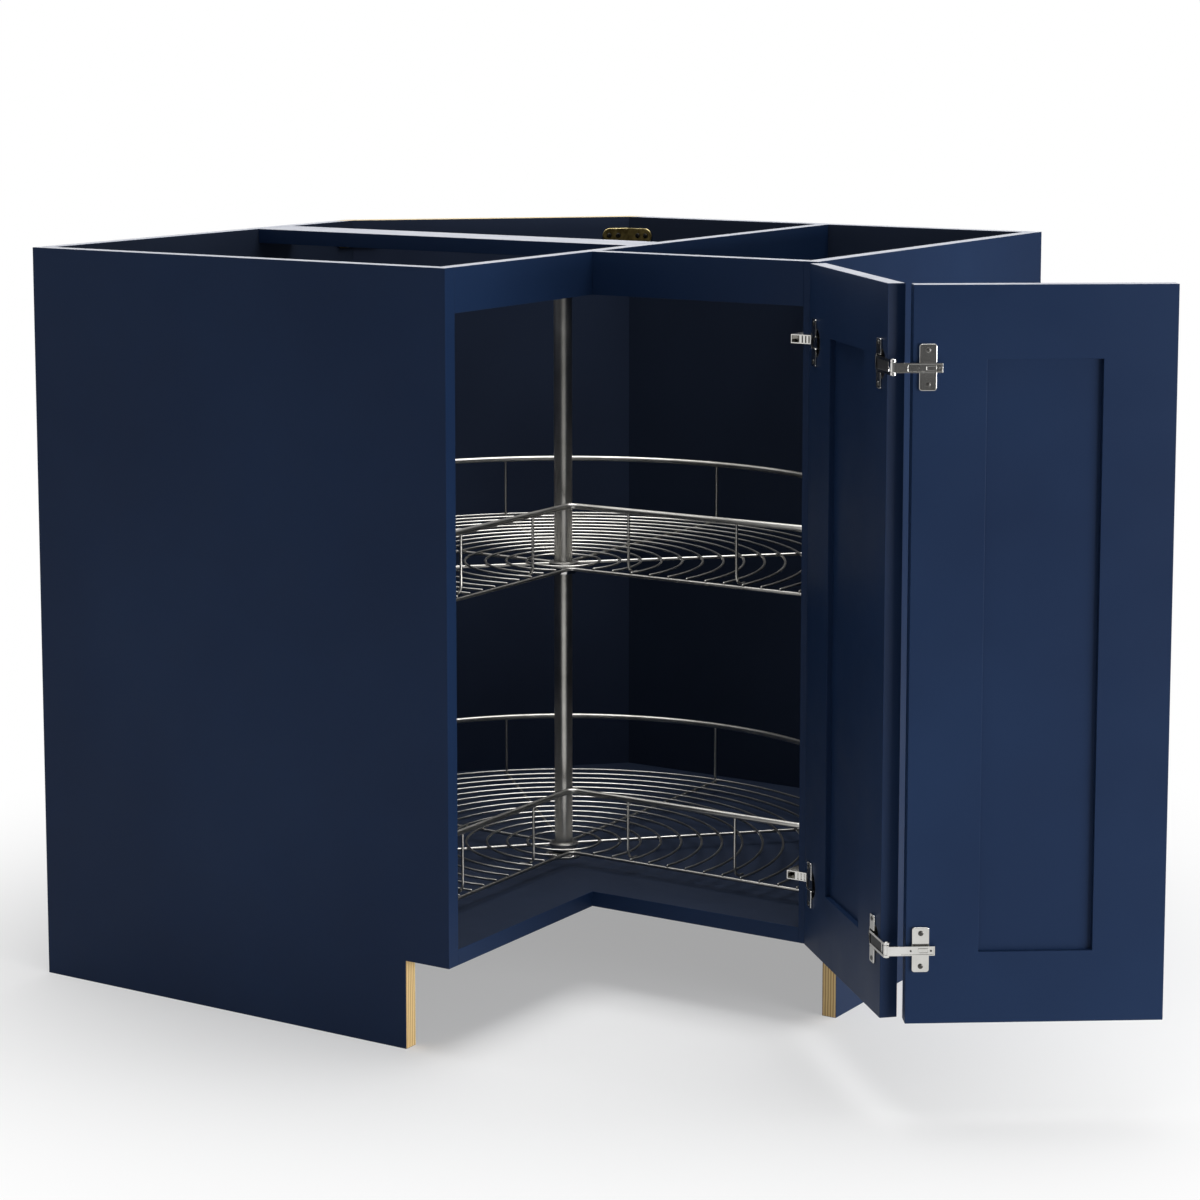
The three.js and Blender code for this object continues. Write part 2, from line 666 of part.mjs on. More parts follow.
function swingHinge(end, z, leafGroup) {
  const { cup, ears } = cupAndEars(swingCupPlace, z);
  const bar = [
    [swingCupPlace + SWING_KNUCKLE, swingPin.b - SWING_KNUCKLE + PIN_RADIUS / 2],
    [swingPin.a, swingPin.b - SWING_KNUCKLE + PIN_RADIUS / 2],
    [swingPin.a, swingPin.b + SWING_KNUCKLE - PIN_RADIUS / 2],
    [swingCupPlace + SWING_KNUCKLE, swingPin.b + SWING_KNUCKLE - PIN_RADIUS / 2],
  ];
  const forks = forkSpans(z).flatMap((span) => [
    levelBoard(bar, ...span),
    knuckle(swingPin, SWING_KNUCKLE, ...span),
  ]);
  const strapFront = DEPTH + FIT + STRAP_STEEL;
  const slotHalf = ARM_HEIGHT / 2 + 2 * FIT;
  const strapSlot = block(
    [swingCupPlace - EAR_REACH, outerEdge],
    [DEPTH, innerFront - FIT / 2],
    [z - slotHalf, z + slotHalf],
  );
  const leafHalf = cut(join([cup, ...ears, ...forks]), [strapSlot, pinHole(swingPin, z)]);
  piece(`${end}_cabinet_hinge_cup`, leafHalf, chrome, leafGroup);

  const plateFace = insideFace - PLATE_STEEL;
  const armFace = plateFace - SWING_ARM_THICKNESS;
  const armBack = strapFront - STRAP_STEEL - SWING_ARM_LENGTH;
  const webFrom = swingPin.a - SWING_KNUCKLE + FIT;
  const arm = [
    [armFace, armBack],
    [plateFace, armBack],
    [plateFace, DEPTH + FIT],
    [swingPin.a, DEPTH + FIT],
    [swingPin.a, swingPin.b],
    [webFrom, swingPin.b],
    [webFrom, strapFront],
    [armFace, strapFront],
  ];
  const armSpan = [z - ARM_HEIGHT / 2, z + ARM_HEIGHT / 2];
  const armBody = join([levelBoard(arm, ...armSpan), knuckle(swingPin, SWING_KNUCKLE, ...armSpan)]);
  piece(`${end}_cabinet_hinge_arm`, cut(armBody, [pinHole(swingPin, z)]), chrome);

  const plateMiddle = armBack + SWING_ARM_LENGTH / 2;
  const plate = join([
    block(
      [plateFace, insideFace],
      [plateMiddle - PLATE_WIDTH / 2, plateMiddle + PLATE_WIDTH / 2],
      [z - PLATE_HEIGHT / 2, z + PLATE_HEIGHT / 2],
    ),
    block([plateFace, insideFace], [armBack, DEPTH], [z - ARM_HEIGHT / 2, z + ARM_HEIGHT / 2]),
  ]);
  piece(`${end}_cabinet_hinge_plate`, plate, chrome);
  piece(`${end}_cabinet_hinge_pin`, disc(PIN_RADIUS, swingPin.a, swingPin.b, z - forkReach, z + forkReach), chrome);
}

function foldHinge(end, z, leafGroup, secondGroup) {
  const { cup, ears } = cupAndEars(foldCupPlace, z);
  const under = innerFront - FOLD_KNUCKLE;
  const barFace = innerFront - FIT;
  const bar = [
    [foldPin.a, under],
    [foldCupPlace, under],
    [foldCupPlace, innerFront + CUP_DEPTH / 2],
    [foldCupPlace - CUP_RADIUS / 2, innerFront + CUP_DEPTH / 2],
    [foldCupPlace - CUP_RADIUS / 2, barFace],
    [foldPin.a, barFace],
  ];
  const forks = forkSpans(z).flatMap((span) => [
    levelBoard(bar, ...span),
    knuckle(foldPin, FOLD_KNUCKLE, ...span),
  ]);
  const leafHalf = cut(join([cup, ...ears, ...forks]), [pinHole(foldPin, z)]);
  piece(`${end}_fold_hinge_cup`, leafHalf, chrome, leafGroup);

  const pin = disc(PIN_RADIUS, foldPin.a, foldPin.b, z - forkReach, z + forkReach);
  piece(`${end}_fold_hinge_pin`, pin, chrome, leafGroup);

  const plateFace = innerFront - FIT - PLATE_STEEL;
  const armSeat = plateFace - FIT;
  const armFace = armSeat - FOLD_ARM_THICKNESS;
  const arm = [
    [armFace, foldPin.b],
    [foldPin.a, foldPin.b],
    [foldPin.a, foldPin.b + FOLD_KNUCKLE],
    [armSeat, foldPin.b + 2 * FOLD_KNUCKLE],
    [armSeat, FOLD_EDGE + FOLD_ARM_LENGTH],
    [armFace, FOLD_EDGE + FOLD_ARM_LENGTH],
  ];
  const armSpan = [z - ARM_HEIGHT / 2, z + ARM_HEIGHT / 2];
  const armBody = join([levelBoard(arm, ...armSpan), knuckle(foldPin, FOLD_KNUCKLE, ...armSpan)]);
  const plateMiddle = FOLD_EDGE + FOLD_PLATE_INSET;
  const plate = block(
    [plateFace, innerFront - FIT],
    [plateMiddle - PLATE_WIDTH / 2, plateMiddle + PLATE_WIDTH / 2],
    [z - PLATE_HEIGHT / 2, z + PLATE_HEIGHT / 2],
  );
  piece(`${end}_fold_hinge_arm`, cut(armBody, [pinHole(foldPin, z)]), chrome, secondGroup);
  piece(`${end}_fold_hinge_plate`, plate, chrome, secondGroup);
}

// ---- the whole cabinet -------------------------------------------------------------------------
carcass();
cornerBracket("right_corner_bracket", false);
cornerBracket("left_corner_bracket", true);
poleAndFittings();
wireShelf("lower_shelf", LOWER_SHELF);
wireShelf("upper_shelf", UPPER_SHELF);

const firstLeaf = turnedGroup(cabinet, swingPin, FIRST_LEAF_OPEN);
const secondLeaf = turnedGroup(firstLeaf, foldPin, -SECOND_LEAF_OPEN);
leaf("first_leaf", false, firstLeaf);
leaf("second_leaf", true, secondLeaf);
for (const [end, z] of Object.entries(cabinetHingeHeights)) {
  swingHinge(end, z, firstLeaf);
}
for (const [end, z] of Object.entries(foldHingeHeights)) {
  foldHinge(end, z, firstLeaf, secondLeaf);
}

// The origin is at the middle of the whole cabinet's underside.
const extent = new THREE.Box3().setFromObject(cabinet, true);
const middle = extent.getCenter(new THREE.Vector3());
cabinet.position.set(-middle.x, -middle.y, -extent.min.z);

const part = new THREE.Group();
part.add(cabinet);

export default part;
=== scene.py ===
"""The looks of an L-shaped corner carousel cabinet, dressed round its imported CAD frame.

Places are written in the cabinet's own millimetres: a runs out from the room corner along the right
wall, b along the left wall, and z up from the floor. The doors are written shut and then turned open
about their hinge pins. One matrix takes such places to the frame's metres.
"""

import logging
import math
from dataclasses import dataclass, field
from enum import Enum
from typing import Callable, Iterable, Sequence

import bmesh
import bpy
from mathutils import Matrix, Vector


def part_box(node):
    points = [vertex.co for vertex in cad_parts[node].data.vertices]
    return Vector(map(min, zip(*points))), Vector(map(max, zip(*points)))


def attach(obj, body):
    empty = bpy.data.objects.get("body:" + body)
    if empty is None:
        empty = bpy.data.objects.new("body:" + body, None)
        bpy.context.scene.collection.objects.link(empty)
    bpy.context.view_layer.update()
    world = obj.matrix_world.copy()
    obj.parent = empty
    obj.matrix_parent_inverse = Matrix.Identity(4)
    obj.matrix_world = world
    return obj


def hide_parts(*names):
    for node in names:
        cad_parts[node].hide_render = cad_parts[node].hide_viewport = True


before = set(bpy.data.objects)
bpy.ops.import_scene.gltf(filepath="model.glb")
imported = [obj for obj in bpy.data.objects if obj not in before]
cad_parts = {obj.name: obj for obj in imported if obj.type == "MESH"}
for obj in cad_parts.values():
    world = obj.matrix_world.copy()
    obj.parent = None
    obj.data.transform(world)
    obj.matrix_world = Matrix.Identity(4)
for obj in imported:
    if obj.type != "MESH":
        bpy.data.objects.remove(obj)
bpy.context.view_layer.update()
MM = 0.001
log = logging.getLogger("cabinet")

Pair = tuple[float, float]
Outline = Sequence[Pair]
Row = list[bmesh.types.BMVert]
Tree = bpy.types.NodeTree
Socket = bpy.types.NodeSocket

HERE = Matrix.Identity(4)
UPSIDE_DOWN = Matrix.Rotation(math.pi, 4, "X")
ALONG_B = Matrix.Rotation(math.pi / 2.0, 4, "X")  # turns z to look along b
AGAINST_A = Matrix.Rotation(-math.pi / 2.0, 4, "Y")  # turns z to look against a
SQUARELY = 0.9  # the cosine above which a face counts as looking a given way


# ---- what the sub-assemblies share -------------------------------------------------------------
@dataclass(frozen=True)
class Layout:
    """Sizes that several sub-assemblies share, in millimetres."""

    height: float = 876.3
    wall_side: float = 885.0
    depth: float = 590.5
    board: float = 18.0
    corner_cut: float = 277.0
    toe_height: float = 101.6
    toe_recess: float = 59.0
    rail_height: float = 50.0
    fit: float = 0.3
    pole: float = 474.0
    pole_radius: float = 11.0
    leaf_gap: float = 3.0
    leaf_thickness: float = 19.0
    leaf_corner_gap: float = 1.0
    leaf_width: float = 271.0
    leaf_bottom: float = 104.6
    leaf_top: float = 875.1
    swing_pin_inset: float = 1.0
    swing_pin_depth: float = 4.5
    first_leaf_open: float = math.radians(135.5)
    second_leaf_open: float = math.radians(10.4)

    @property
    def inside_face(self) -> float:
        """The side panels' inner faces."""
        return self.wall_side - self.board

    @property
    def floor_top(self) -> float:
        """The top of the floor panel."""
        return self.toe_height + self.board

    @property
    def inner_front(self) -> float:
        """The inner face of a shut leaf."""
        return self.depth + self.leaf_gap

    @property
    def fold_edge(self) -> float:
        """The edge of each shut leaf at the fold."""
        return self.inner_front + self.leaf_thickness + self.leaf_corner_gap

    @property
    def outer_edge(self) -> float:
        """The edge of each shut leaf away from the fold."""
        return self.fold_edge + self.leaf_width

    @property
    def swing_pin(self) -> Pair:
        """The pin that the first leaf swings on."""
        return self.wall_side - self.swing_pin_inset, self.inner_front + self.swing_pin_depth

    @property
    def fold_pin(self) -> Pair:
        """The pin that the second leaf folds on."""
        return self.inner_front, self.inner_front

    @property
    def pole_bore(self) -> float:
        """The radius of what fits round the pole."""
        return self.pole_radius + self.fit


class Rides(Enum):
    """The CAD bodies that pieces ride on."""

    CABINET = "cabinet"
    LOWER_SHELF = "lower_shelf"
    UPPER_SHELF = "upper_shelf"
    UPPER_COLLAR = "upper_collar"
    FIRST_LEAF = "first_leaf"
    SECOND_LEAF = "second_leaf"


class Slot(Enum):
    """The record's material slots."""

    PAINT = "navy_painted_ply"
    WIRE = "nickel_wire"
    HINGE = "plated_hinge"
    BRASS = "aged_brass"
    NYLON = "black_nylon"


class Push(Enum):
    """How an outline becomes a solid: the two axes it is drawn in, then the axis it is pushed along."""

    UP = "abz"
    ALONG_A = "bza"
    ALONG_B = "azb"

    def plane(self) -> Matrix:
        """The matrix from the drawing's coordinates to the cabinet's millimetres."""
        axes = {"a": Vector((1, 0, 0)), "b": Vector((0, -1, 0)), "z": Vector((0, 0, 1))}
        return Matrix([axes[letter] for letter in self.value]).transposed().to_4x4()


def spot(a: float, b: float, z: float = 0.0) -> Vector:
    """A place given by a, b and z."""
    return Vector((a, -b, z))


def seat(a: float, b: float, z: float = 0.0) -> Matrix:
    """A move to a place given by a, b and z."""
    return Matrix.Translation(spot(a, b, z))


def to_frame() -> Matrix:
    """Find how the cabinet's millimetres lie in the frame's metres.

    Returns:
        The matrix from the one to the other.
    """
    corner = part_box("right_side_panel")[1]
    shift = Vector((corner.x - LAYOUT.wall_side * MM, corner.y, 0.0))
    return Matrix.Translation(shift) @ Matrix.Scale(MM, 4)


def about(pin: Pair, angle: float) -> Matrix:
    """A turn about an upright pin."""
    return seat(*pin) @ Matrix.Rotation(angle, 4, "Z") @ Matrix.Translation(-spot(*pin))


LAYOUT = Layout()
TO_FRAME = to_frame()
FIRST_LEAF_PLACE = about(LAYOUT.swing_pin, LAYOUT.first_leaf_open)
SECOND_LEAF_PLACE = FIRST_LEAF_PLACE @ about(LAYOUT.fold_pin, -LAYOUT.second_leaf_open)
POLE_AXIS = seat(LAYOUT.pole, LAYOUT.pole)


# ---- finishes ----------------------------------------------------------------------------------
def linear(colour: str) -> tuple[float, float, float, float]:
    """Turn an sRGB hex colour into linear light.

    Args:
        colour: such as "#1c2c4f".

    Returns:
        Red, green, blue and an alpha of 1.
    """
    shares = [int(colour[start:start + 2], 16) / 255 for start in (1, 3, 5)]
    return (*(s / 12.92 if s <= 0.04045 else ((s + 0.055) / 1.055) ** 2.4 for s in shares), 1.0)


def add_node(
    tree: Tree, kind: str, inputs: dict[str | int, object] | None = None, **settings: object
) -> bpy.types.Node:
    """Add a node with its settings, values and links.

    Args:
        tree: the node tree to add it to.
        kind: the node's type name.
        inputs: for each input socket, a value or the output socket that feeds it.
        **settings: the node's own properties.

    Returns:
        The new node.
    """
    node = tree.nodes.new(kind)
    for key, value in settings.items():
        setattr(node, key, value)
    for key, value in (inputs or {}).items():
        if isinstance(value, Socket):
            tree.links.new(value, node.inputs[key])
        else:
            node.inputs[key].default_value = value
    return node


def mottle(
    tree: Tree,
    place: Socket,
    size_mm: float,
    low: float | str,
    high: float | str,
    stretch: Sequence[float] = (1.0, 1.0, 1.0),
) -> Socket:
    """Blend between two values or two colours by soft noise.

    Args:
        tree: the material's nodes.
        place: the coordinates to read, in metres.
        size_mm: how large the noise's patches are.
        low: the value or hex colour in the hollows.
        high: the value or hex colour on the peaks.
        stretch: how much finer the noise runs along each axis.

    Returns:
        The socket that carries the blend.
    """
    moved = add_node(tree, "ShaderNodeVectorMath", {0: place, 1: stretch}, operation="MULTIPLY")
    scale = 1.0 / MM / size_mm
    noise = add_node(
        tree, "ShaderNodeTexNoise", {"Vector": moved.outputs["Vector"], "Scale": scale, "Detail": 3.0}
    )
    ends = (0.3, 0.7)  # the noise's values seldom pass these
    if isinstance(low, str):
        ramp = add_node(tree, "ShaderNodeValToRGB", {"Fac": noise.outputs["Fac"]})
        for stop, at, shade in zip(ramp.color_ramp.elements, ends, (low, high)):
            stop.position = at
            stop.color = linear(shade)
        return ramp.outputs["Color"]
    reach = {"From Min": ends[0], "From Max": ends[1], "To Min": low, "To Max": high}
    return add_node(tree, "ShaderNodeMapRange", {"Value": noise.outputs["Fac"], **reach}).outputs["Result"]


@dataclass(frozen=True)
class Finish:
    """What every finish has: a clouded colour and a fine grain on a Principled surface."""

    name: str
    colour: str
    low_colour: str
    roughness: float
    metallic: float = 0.0
    specular: float = 0.5
    cloud_mm: float = 30.0
    gloss_mm: float = 0.0  # 0 leaves the roughness even
    gloss_spread: Pair = (0.0, 0.0)
    grain_mm: float = 2.5
    grain_depth_mm: float = 0.02
    grain_stretch: Sequence[float] = (1.0, 1.0, 1.0)

    def material(self) -> bpy.types.Material:
        """Make the material once, and give the same one from then on.

        Returns:
            The material.
        """
        found = bpy.data.materials.get(self.name)
        if found:
            return found
        made = bpy.data.materials.new(self.name)
        made.use_nodes = True
        tree = made.node_tree
        tree.nodes.clear()
        values = {
            "Base Color": linear(self.colour),
            "Roughness": self.roughness,
            "Metallic": self.metallic,
            "Specular IOR Level": self.specular,
        }
        surface = add_node(tree, "ShaderNodeBsdfPrincipled", values)
        place = add_node(tree, "ShaderNodeTexCoord").outputs["Object"]
        shade, grain = self.pattern(tree, place)
        tree.links.new(shade, surface.inputs["Base Color"])
        if self.gloss_mm:
            low, high = (self.roughness + spread for spread in self.gloss_spread)
            tree.links.new(mottle(tree, place, self.gloss_mm, low, high), surface.inputs["Roughness"])
        relief = {"Height": grain, "Distance": self.grain_depth_mm * MM, "Strength": 1.0}
        bump = add_node(tree, "ShaderNodeBump", relief)
        tree.links.new(bump.outputs["Normal"], surface.inputs["Normal"])
        add_node(tree, "ShaderNodeOutputMaterial", {"Surface": surface.outputs["BSDF"]})
        return made

    def pattern(self, tree: Tree, place: Socket) -> tuple[Socket, Socket]:
        """The colour's clouds, and the grain's height."""
        shade = mottle(tree, place, self.cloud_mm, self.low_colour, self.colour)
        return shade, mottle(tree, place, self.grain_mm, 0.0, 1.0, self.grain_stretch)


@dataclass(frozen=True)
class SprayedLacquer(Finish):
    """Flattened lacquer sprayed on plywood and fibreboard: an even low sheen, with a faint orange peel."""

    specular: float = 0.1
    cloud_mm: float = 260.0
    gloss_mm: float = 60.0
    gloss_spread: Pair = (-0.03, 0.04)
    grain_mm: float = 5.0  # real orange peel is 1 to 2 mm, too fine for the render
    grain_depth_mm: float = 0.012


@dataclass(frozen=True)
class TopEdgeHighlight(Finish):
    """Pale grey on the faces that look up, a painted highlight for the top light's sheen on the lacquered top
    edges: matt and slightly cloudy, with a fine nap.
    """


class Layers(Enum):
    """Which way a plywood edge's layers are stacked, as a direction in the frame."""

    ACROSS_X = (1.0, 0.0, 0.0)
    ACROSS_Y = (0.0, 1.0, 0.0)
    ACROSS_CORNER = (math.sqrt(0.5), -math.sqrt(0.5), 0.0)


@dataclass(frozen=True)
class SawnPlyEdge(Finish):
    """Bare sawn plywood: pale face grain between darker end-grain layers."""

    layers: Layers = Layers.ACROSS_X
    layer_mm: float = 3.4  # the real plies are about 1.4 mm, finer than a pixel
    wander_mm: float = 55.0
    grain_depth_mm: float = 0.08

    def pattern(self, tree: Tree, place: Socket) -> tuple[Socket, Socket]:
        """The layers, wandering a little along the board.

        Args:
            tree: the material's nodes.
            place: the object's own coordinates, in metres.

        Returns:
            The sockets that carry the colour and the relief's height.
        """
        inputs = {0: place, 1: self.layers.value}
        across = add_node(tree, "ShaderNodeVectorMath", inputs, operation="DOT_PRODUCT").outputs["Value"]
        turns = 2.0 * math.pi / (self.layer_mm * MM)
        wander = mottle(tree, place, self.wander_mm, -0.9, 0.9)
        inputs = {0: across, 1: turns, 2: wander}
        phase = add_node(tree, "ShaderNodeMath", inputs, operation="MULTIPLY_ADD").outputs["Value"]
        wave = add_node(tree, "ShaderNodeMath", {0: phase}, operation="SINE").outputs["Value"]
        ramp = add_node(tree, "ShaderNodeValToRGB", {"Fac": wave})
        for stop, at, shade in zip(ramp.color_ramp.elements, (0.1, 0.75), (self.colour, self.low_colour)):
            stop.position = at
            stop.color = linear(shade)
        return ramp.outputs["Color"], ramp.outputs["Color"]


@dataclass(frozen=True)
class NickelPlate(Finish):
    """Bright nickel on pressed steel: a warm grey metal with faint handling marks."""

    metallic: float = 1.0
    cloud_mm: float = 40.0
    gloss_mm: float = 30.0
    gloss_spread: Pair = (-0.02, 0.02)
    grain_mm: float = 1.6
    grain_depth_mm: float = 0.0006


@dataclass(frozen=True)
class BrushedNickelPlate(NickelPlate):
    """Nickel on brushed steel: soft highlights drawn out along the fine upright brush lines."""

    # brush lines are about 0.1 mm, so the plate's 1.6 mm grain is coarser than they are, to show
    grain_stretch: Sequence[float] = (1.0, 1.0, 0.08)


@dataclass(frozen=True)
class AgedBrass(Finish):
    """Dull brass-plated strip: brown tarnish over an olive-yellow metal with a rolled grain."""

    metallic: float = 1.0
    cloud_mm: float = 7.0
    grain_mm: float = 1.5


@dataclass(frozen=True)
class MouldedNylon(Finish):
    """Injection-moulded black nylon: a soft sheen over a fine spark-eroded texture."""

    cloud_mm: float = 9.0
    grain_mm: float = 0.8
    grain_depth_mm: float = 0.015


LACQUER = SprayedLacquer("sprayed_navy_lacquer", "#1c2f4e", "#182946", 0.42)
# a greyer copy of the navy lacquer for the faces inside the cabinet: painted sheen, standing in for the grey
# gloss those faces catch
INSIDE_SHEEN_LACQUER = SprayedLacquer("navy_lacquer_inside_painted_sheen", "#252e40", "#202838", 0.5)
# a lighter, greyer copy of the navy lacquer for the diagonal board's inside face: painted light, for the
# light it catches through the doorway
DIAGONAL_LIT_LACQUER = SprayedLacquer("thin_navy_sealer_diagonal", "#2e394f", "#283145", 0.5)
# pale grey on the top faces of the boards and leaves: painted highlight, the top light's sheen on their edges
TOP_EDGE_HIGHLIGHT = TopEdgeHighlight("top_edge_painted_highlight", "#b4b6bd", "#a4a7b0", 0.55)
PLY_ACROSS_Y = SawnPlyEdge("sawn_ply_edge_left", "#e8cc92", "#b3874b", 0.7, layers=Layers.ACROSS_Y)
PLY_ACROSS_X = SawnPlyEdge("sawn_ply_edge_right", "#e8cc92", "#b3874b", 0.7, layers=Layers.ACROSS_X)
PLY_ACROSS_CORNER = SawnPlyEdge(
    "sawn_ply_edge_diagonal", "#ded2a8", "#b3874b", 0.7, layers=Layers.ACROSS_CORNER
)
BRUSHED_NICKEL = BrushedNickelPlate("brushed_nickel_wire", "#c6c4bf", "#a5a39e", 0.33)
BRIGHT_NICKEL = NickelPlate("bright_nickel_pressed_steel", "#d6d5d2", "#c4c3bf", 0.14)
DARK_STEEL = NickelPlate("blackened_screw_steel", "#6b6a68", "#4a4947", 0.35)
BLACK_STEEL = NickelPlate("black_oxide_screws", "#2b2a28", "#1d1c1b", 0.5)
BRASS = AgedBrass("aged_brass_strip", "#75683f", "#453a20", 0.45)
WORN_BRASS = AgedBrass("worn_brass_strip_edge", "#d2c294", "#a39364", 0.35)
# black nylon; on the hinges it also paints shade, in the cups and the sheet between the links
NYLON = MouldedNylon("black_nylon_and_painted_shade", "#232326", "#18181a", 0.5)


# ---- solids ------------------------------------------------------------------------------------
class Blank:
    """A closed mesh on the bench, in the cabinet's millimetres."""

    EASED_FROM = math.radians(30.0)  # edges that turn further than this are rounded off
    SHARP_FROM = math.radians(35.0)  # and those that still turn further are shaded sharp

    def __init__(self) -> None:
        """Start with nothing."""
        self.bm = bmesh.new()

    def prism(
        self, outline: Outline, push: Push | Matrix, start: float, end: float, finish: int = 0
    ) -> "Blank":
        """Add an outline pushed into a solid.

        Args:
            outline: the corners, in the drawing plane's two axes.
            push: how it is drawn and pushed, or a matrix of the drawing plane.
            start: where the solid starts on the push axis.
            end: where it ends.
            finish: the number of the faces' finish.

        Returns:
            The blank itself.
        """
        plane = push.plane() if isinstance(push, Push) else push
        rows = [self._row(plane @ Vector((u, v, at)) for u, v in outline) for at in (start, end)]
        return self._skinned(rows, finish, ends=True)

    def block(self, a: Pair, b: Pair, z: Pair, finish: int = 0) -> "Blank":
        """Add a straight block between two places on each axis."""
        return self.prism(rectangle((a[0], b[0]), (a[1], b[1])), Push.UP, *z, finish)

    def window(self, outer: tuple[Pair, Pair], inner: tuple[Pair, Pair], push: Push, span: Pair) -> "Blank":
        """Add a rectangular frame round a rectangular opening.

        Args:
            outer: the frame's low and high corner in the drawing plane.
            inner: the opening's low and high corner.
            push: how it is drawn and pushed.
            span: where the frame starts and ends on the push axis.

        Returns:
            The blank itself.
        """
        plane = push.plane()
        loops = ((outer, span[0]), (outer, span[1]), (inner, span[1]), (inner, span[0]))
        rows = [self._row(plane @ Vector((u, v, at)) for u, v in rectangle(*box)) for box, at in loops]
        return self._skinned(rows, 0, wraps=True)

    def turned(self, profile: Outline, place: Matrix, sides: int = 48, finish: int = 0) -> "Blank":
        """Add a turned piece.

        Args:
            profile: radius and height points, from axis to axis or once round a ring's section.
            place: where the lathe's axis stands.
            sides: flats round the piece.
            finish: the number of the faces' finish.

        Returns:
            The blank itself.
        """
        rows = []
        for radius, height in profile:
            if radius == 0.0:
                rows.append(self._row([place @ Vector((0.0, 0.0, height))]) * sides)
                continue
            angles = (2.0 * math.pi * side / sides for side in range(sides))
            spots = (Vector((radius * math.cos(t), radius * math.sin(t), height)) for t in angles)
            rows.append(self._row(place @ point for point in spots))
        return self._skinned(rows, finish, wraps=profile[0][0] > 0.0)

    def wire(self, path: Sequence[Vector], diameter: float, sides: int = 10, closed: bool = False) -> "Blank":
        """Add a round wire with domed ends.

        Args:
            path: the places that its middle passes through.
            diameter: the wire's thickness.
            sides: flats round the wire.
            closed: whether its end meets its start.

        Returns:
            The blank itself.
        """
        count = len(path)
        tangents = []
        for here in range(count):
            before = path[here - 1] if closed or here else path[here]
            after = path[(here + 1) % count] if closed or here < count - 1 else path[here]
            tangents.append((after - before).normalized())
        side = tangents[0].cross(Vector((0.0, 0.0, 1.0)))
        if side.length < 0.1:
            side = tangents[0].cross(Vector((1.0, 0.0, 0.0)))
        radius = diameter / 2.0
        stations = [(place, tangent, radius) for place, tangent in zip(path, tangents)]
        if not closed:
            for dome in (math.radians(45.0), math.radians(80.0)):
                out, wide = radius * math.sin(dome), radius * math.cos(dome)
                stations.insert(0, (path[0] - tangents[0] * out, tangents[0], wide))
                stations.append((path[-1] + tangents[-1] * out, tangents[-1], wide))
        rows = []
        for middle, tangent, wide in stations:
            side = (side - tangent * side.dot(tangent)).normalized()
            up = tangent.cross(side)
            angles = [2.0 * math.pi * step / sides for step in range(sides)]
            rows.append(self._row(middle + (side * math.cos(t) + up * math.sin(t)) * wide for t in angles))
        return self._skinned(rows, 0, wraps=closed, ends=not closed)

    def _row(self, places: Iterable[Vector]) -> Row:
        """New corners at these places."""
        return [self.bm.verts.new(place) for place in places]

    def _skinned(self, rows: list[Row], finish: int, wraps: bool = False, ends: bool = False) -> "Blank":
        """Stretch faces that look outwards from each row of corners to the next.

        Args:
            rows: the rows, where a row on a lathe's axis is one corner repeated.
            finish: the number of the faces' finish.
            wraps: whether the last row joins the first.
            ends: whether the first and last row are closed by a face.

        Returns:
            The blank itself.
        """
        faces = [self.bm.faces.new(row) for row in (rows[0], rows[-1])] if ends else []
        for low, high in zip(rows, rows[1:] + rows[:1] if wraps else rows[1:]):
            for here in range(len(low)):
                after = (here + 1) % len(low)
                corners = list(dict.fromkeys((low[here], low[after], high[after], high[here])))
                if len(corners) > 2:
                    faces.append(self.bm.faces.new(corners))
        for face in faces:
            face.material_index = finish
        bmesh.ops.recalc_face_normals(self.bm, faces=faces)
        return self

    def tag(self, finish: int, chosen: Callable[[Vector, Vector], bool]) -> "Blank":
        """Give some faces another finish.

        Args:
            finish: the number of the finish.
            chosen: says from a face's normal and middle whether it is one of them.

        Returns:
            The blank itself.
        """
        self.bm.normal_update()
        for face in self.bm.faces:
            if chosen(face.normal, face.calc_center_median()):
                face.material_index = finish
        return self

    def eased(self, width: float, segments: int = 2) -> "Blank":
        """Round the sharp edges off.

        Args:
            width: how far the rounding reaches from each edge.
            segments: flats across the rounding.

        Returns:
            The blank itself.
        """
        self.bm.normal_update()
        sharp = [
            edge
            for edge in self.bm.edges
            if len(edge.link_faces) == 2 and edge.calc_face_angle(0.0) > self.EASED_FROM
        ]
        how = {"profile": 0.5, "affect": "EDGES", "clamp_overlap": True}
        bmesh.ops.bevel(self.bm, geom=sharp, offset=width, segments=segments, **how)
        return self

    def _shown(self, name: str) -> bpy.types.Object:
        """The blank as an object for a moment's work.

        Args:
            name: the object's name.

        Returns:
            The object.
        """
        mesh = bpy.data.meshes.new(name)
        self.bm.to_mesh(mesh)
        made = bpy.data.objects.new(name, mesh)
        bpy.context.scene.collection.objects.link(made)
        return made

    def _worked(self, tool: "Blank", operation: str) -> "Blank":
        """Join or cut the blank with another.

        Args:
            tool: the other blank, which is used up.
            operation: UNION or DIFFERENCE.

        Returns:
            The blank itself.
        """
        held, cutter = self._shown("held"), tool._shown("cutter")
        work = held.modifiers.new("work", "BOOLEAN")
        work.object = cutter
        work.operation = operation
        work.solver = "EXACT"
        bpy.context.view_layer.update()
        graph = bpy.context.evaluated_depsgraph_get()
        worked = bpy.data.meshes.new_from_object(held.evaluated_get(graph))
        self.bm.clear()
        self.bm.from_mesh(worked)
        tool.bm.free()
        for used in (held, cutter):
            mesh = used.data
            bpy.data.objects.remove(used)
            bpy.data.meshes.remove(mesh)
        bpy.data.meshes.remove(worked)
        return self

    def cut(self, tool: "Blank") -> "Blank":
        """Take another blank's shape out of this one."""
        return self._worked(tool, "DIFFERENCE")

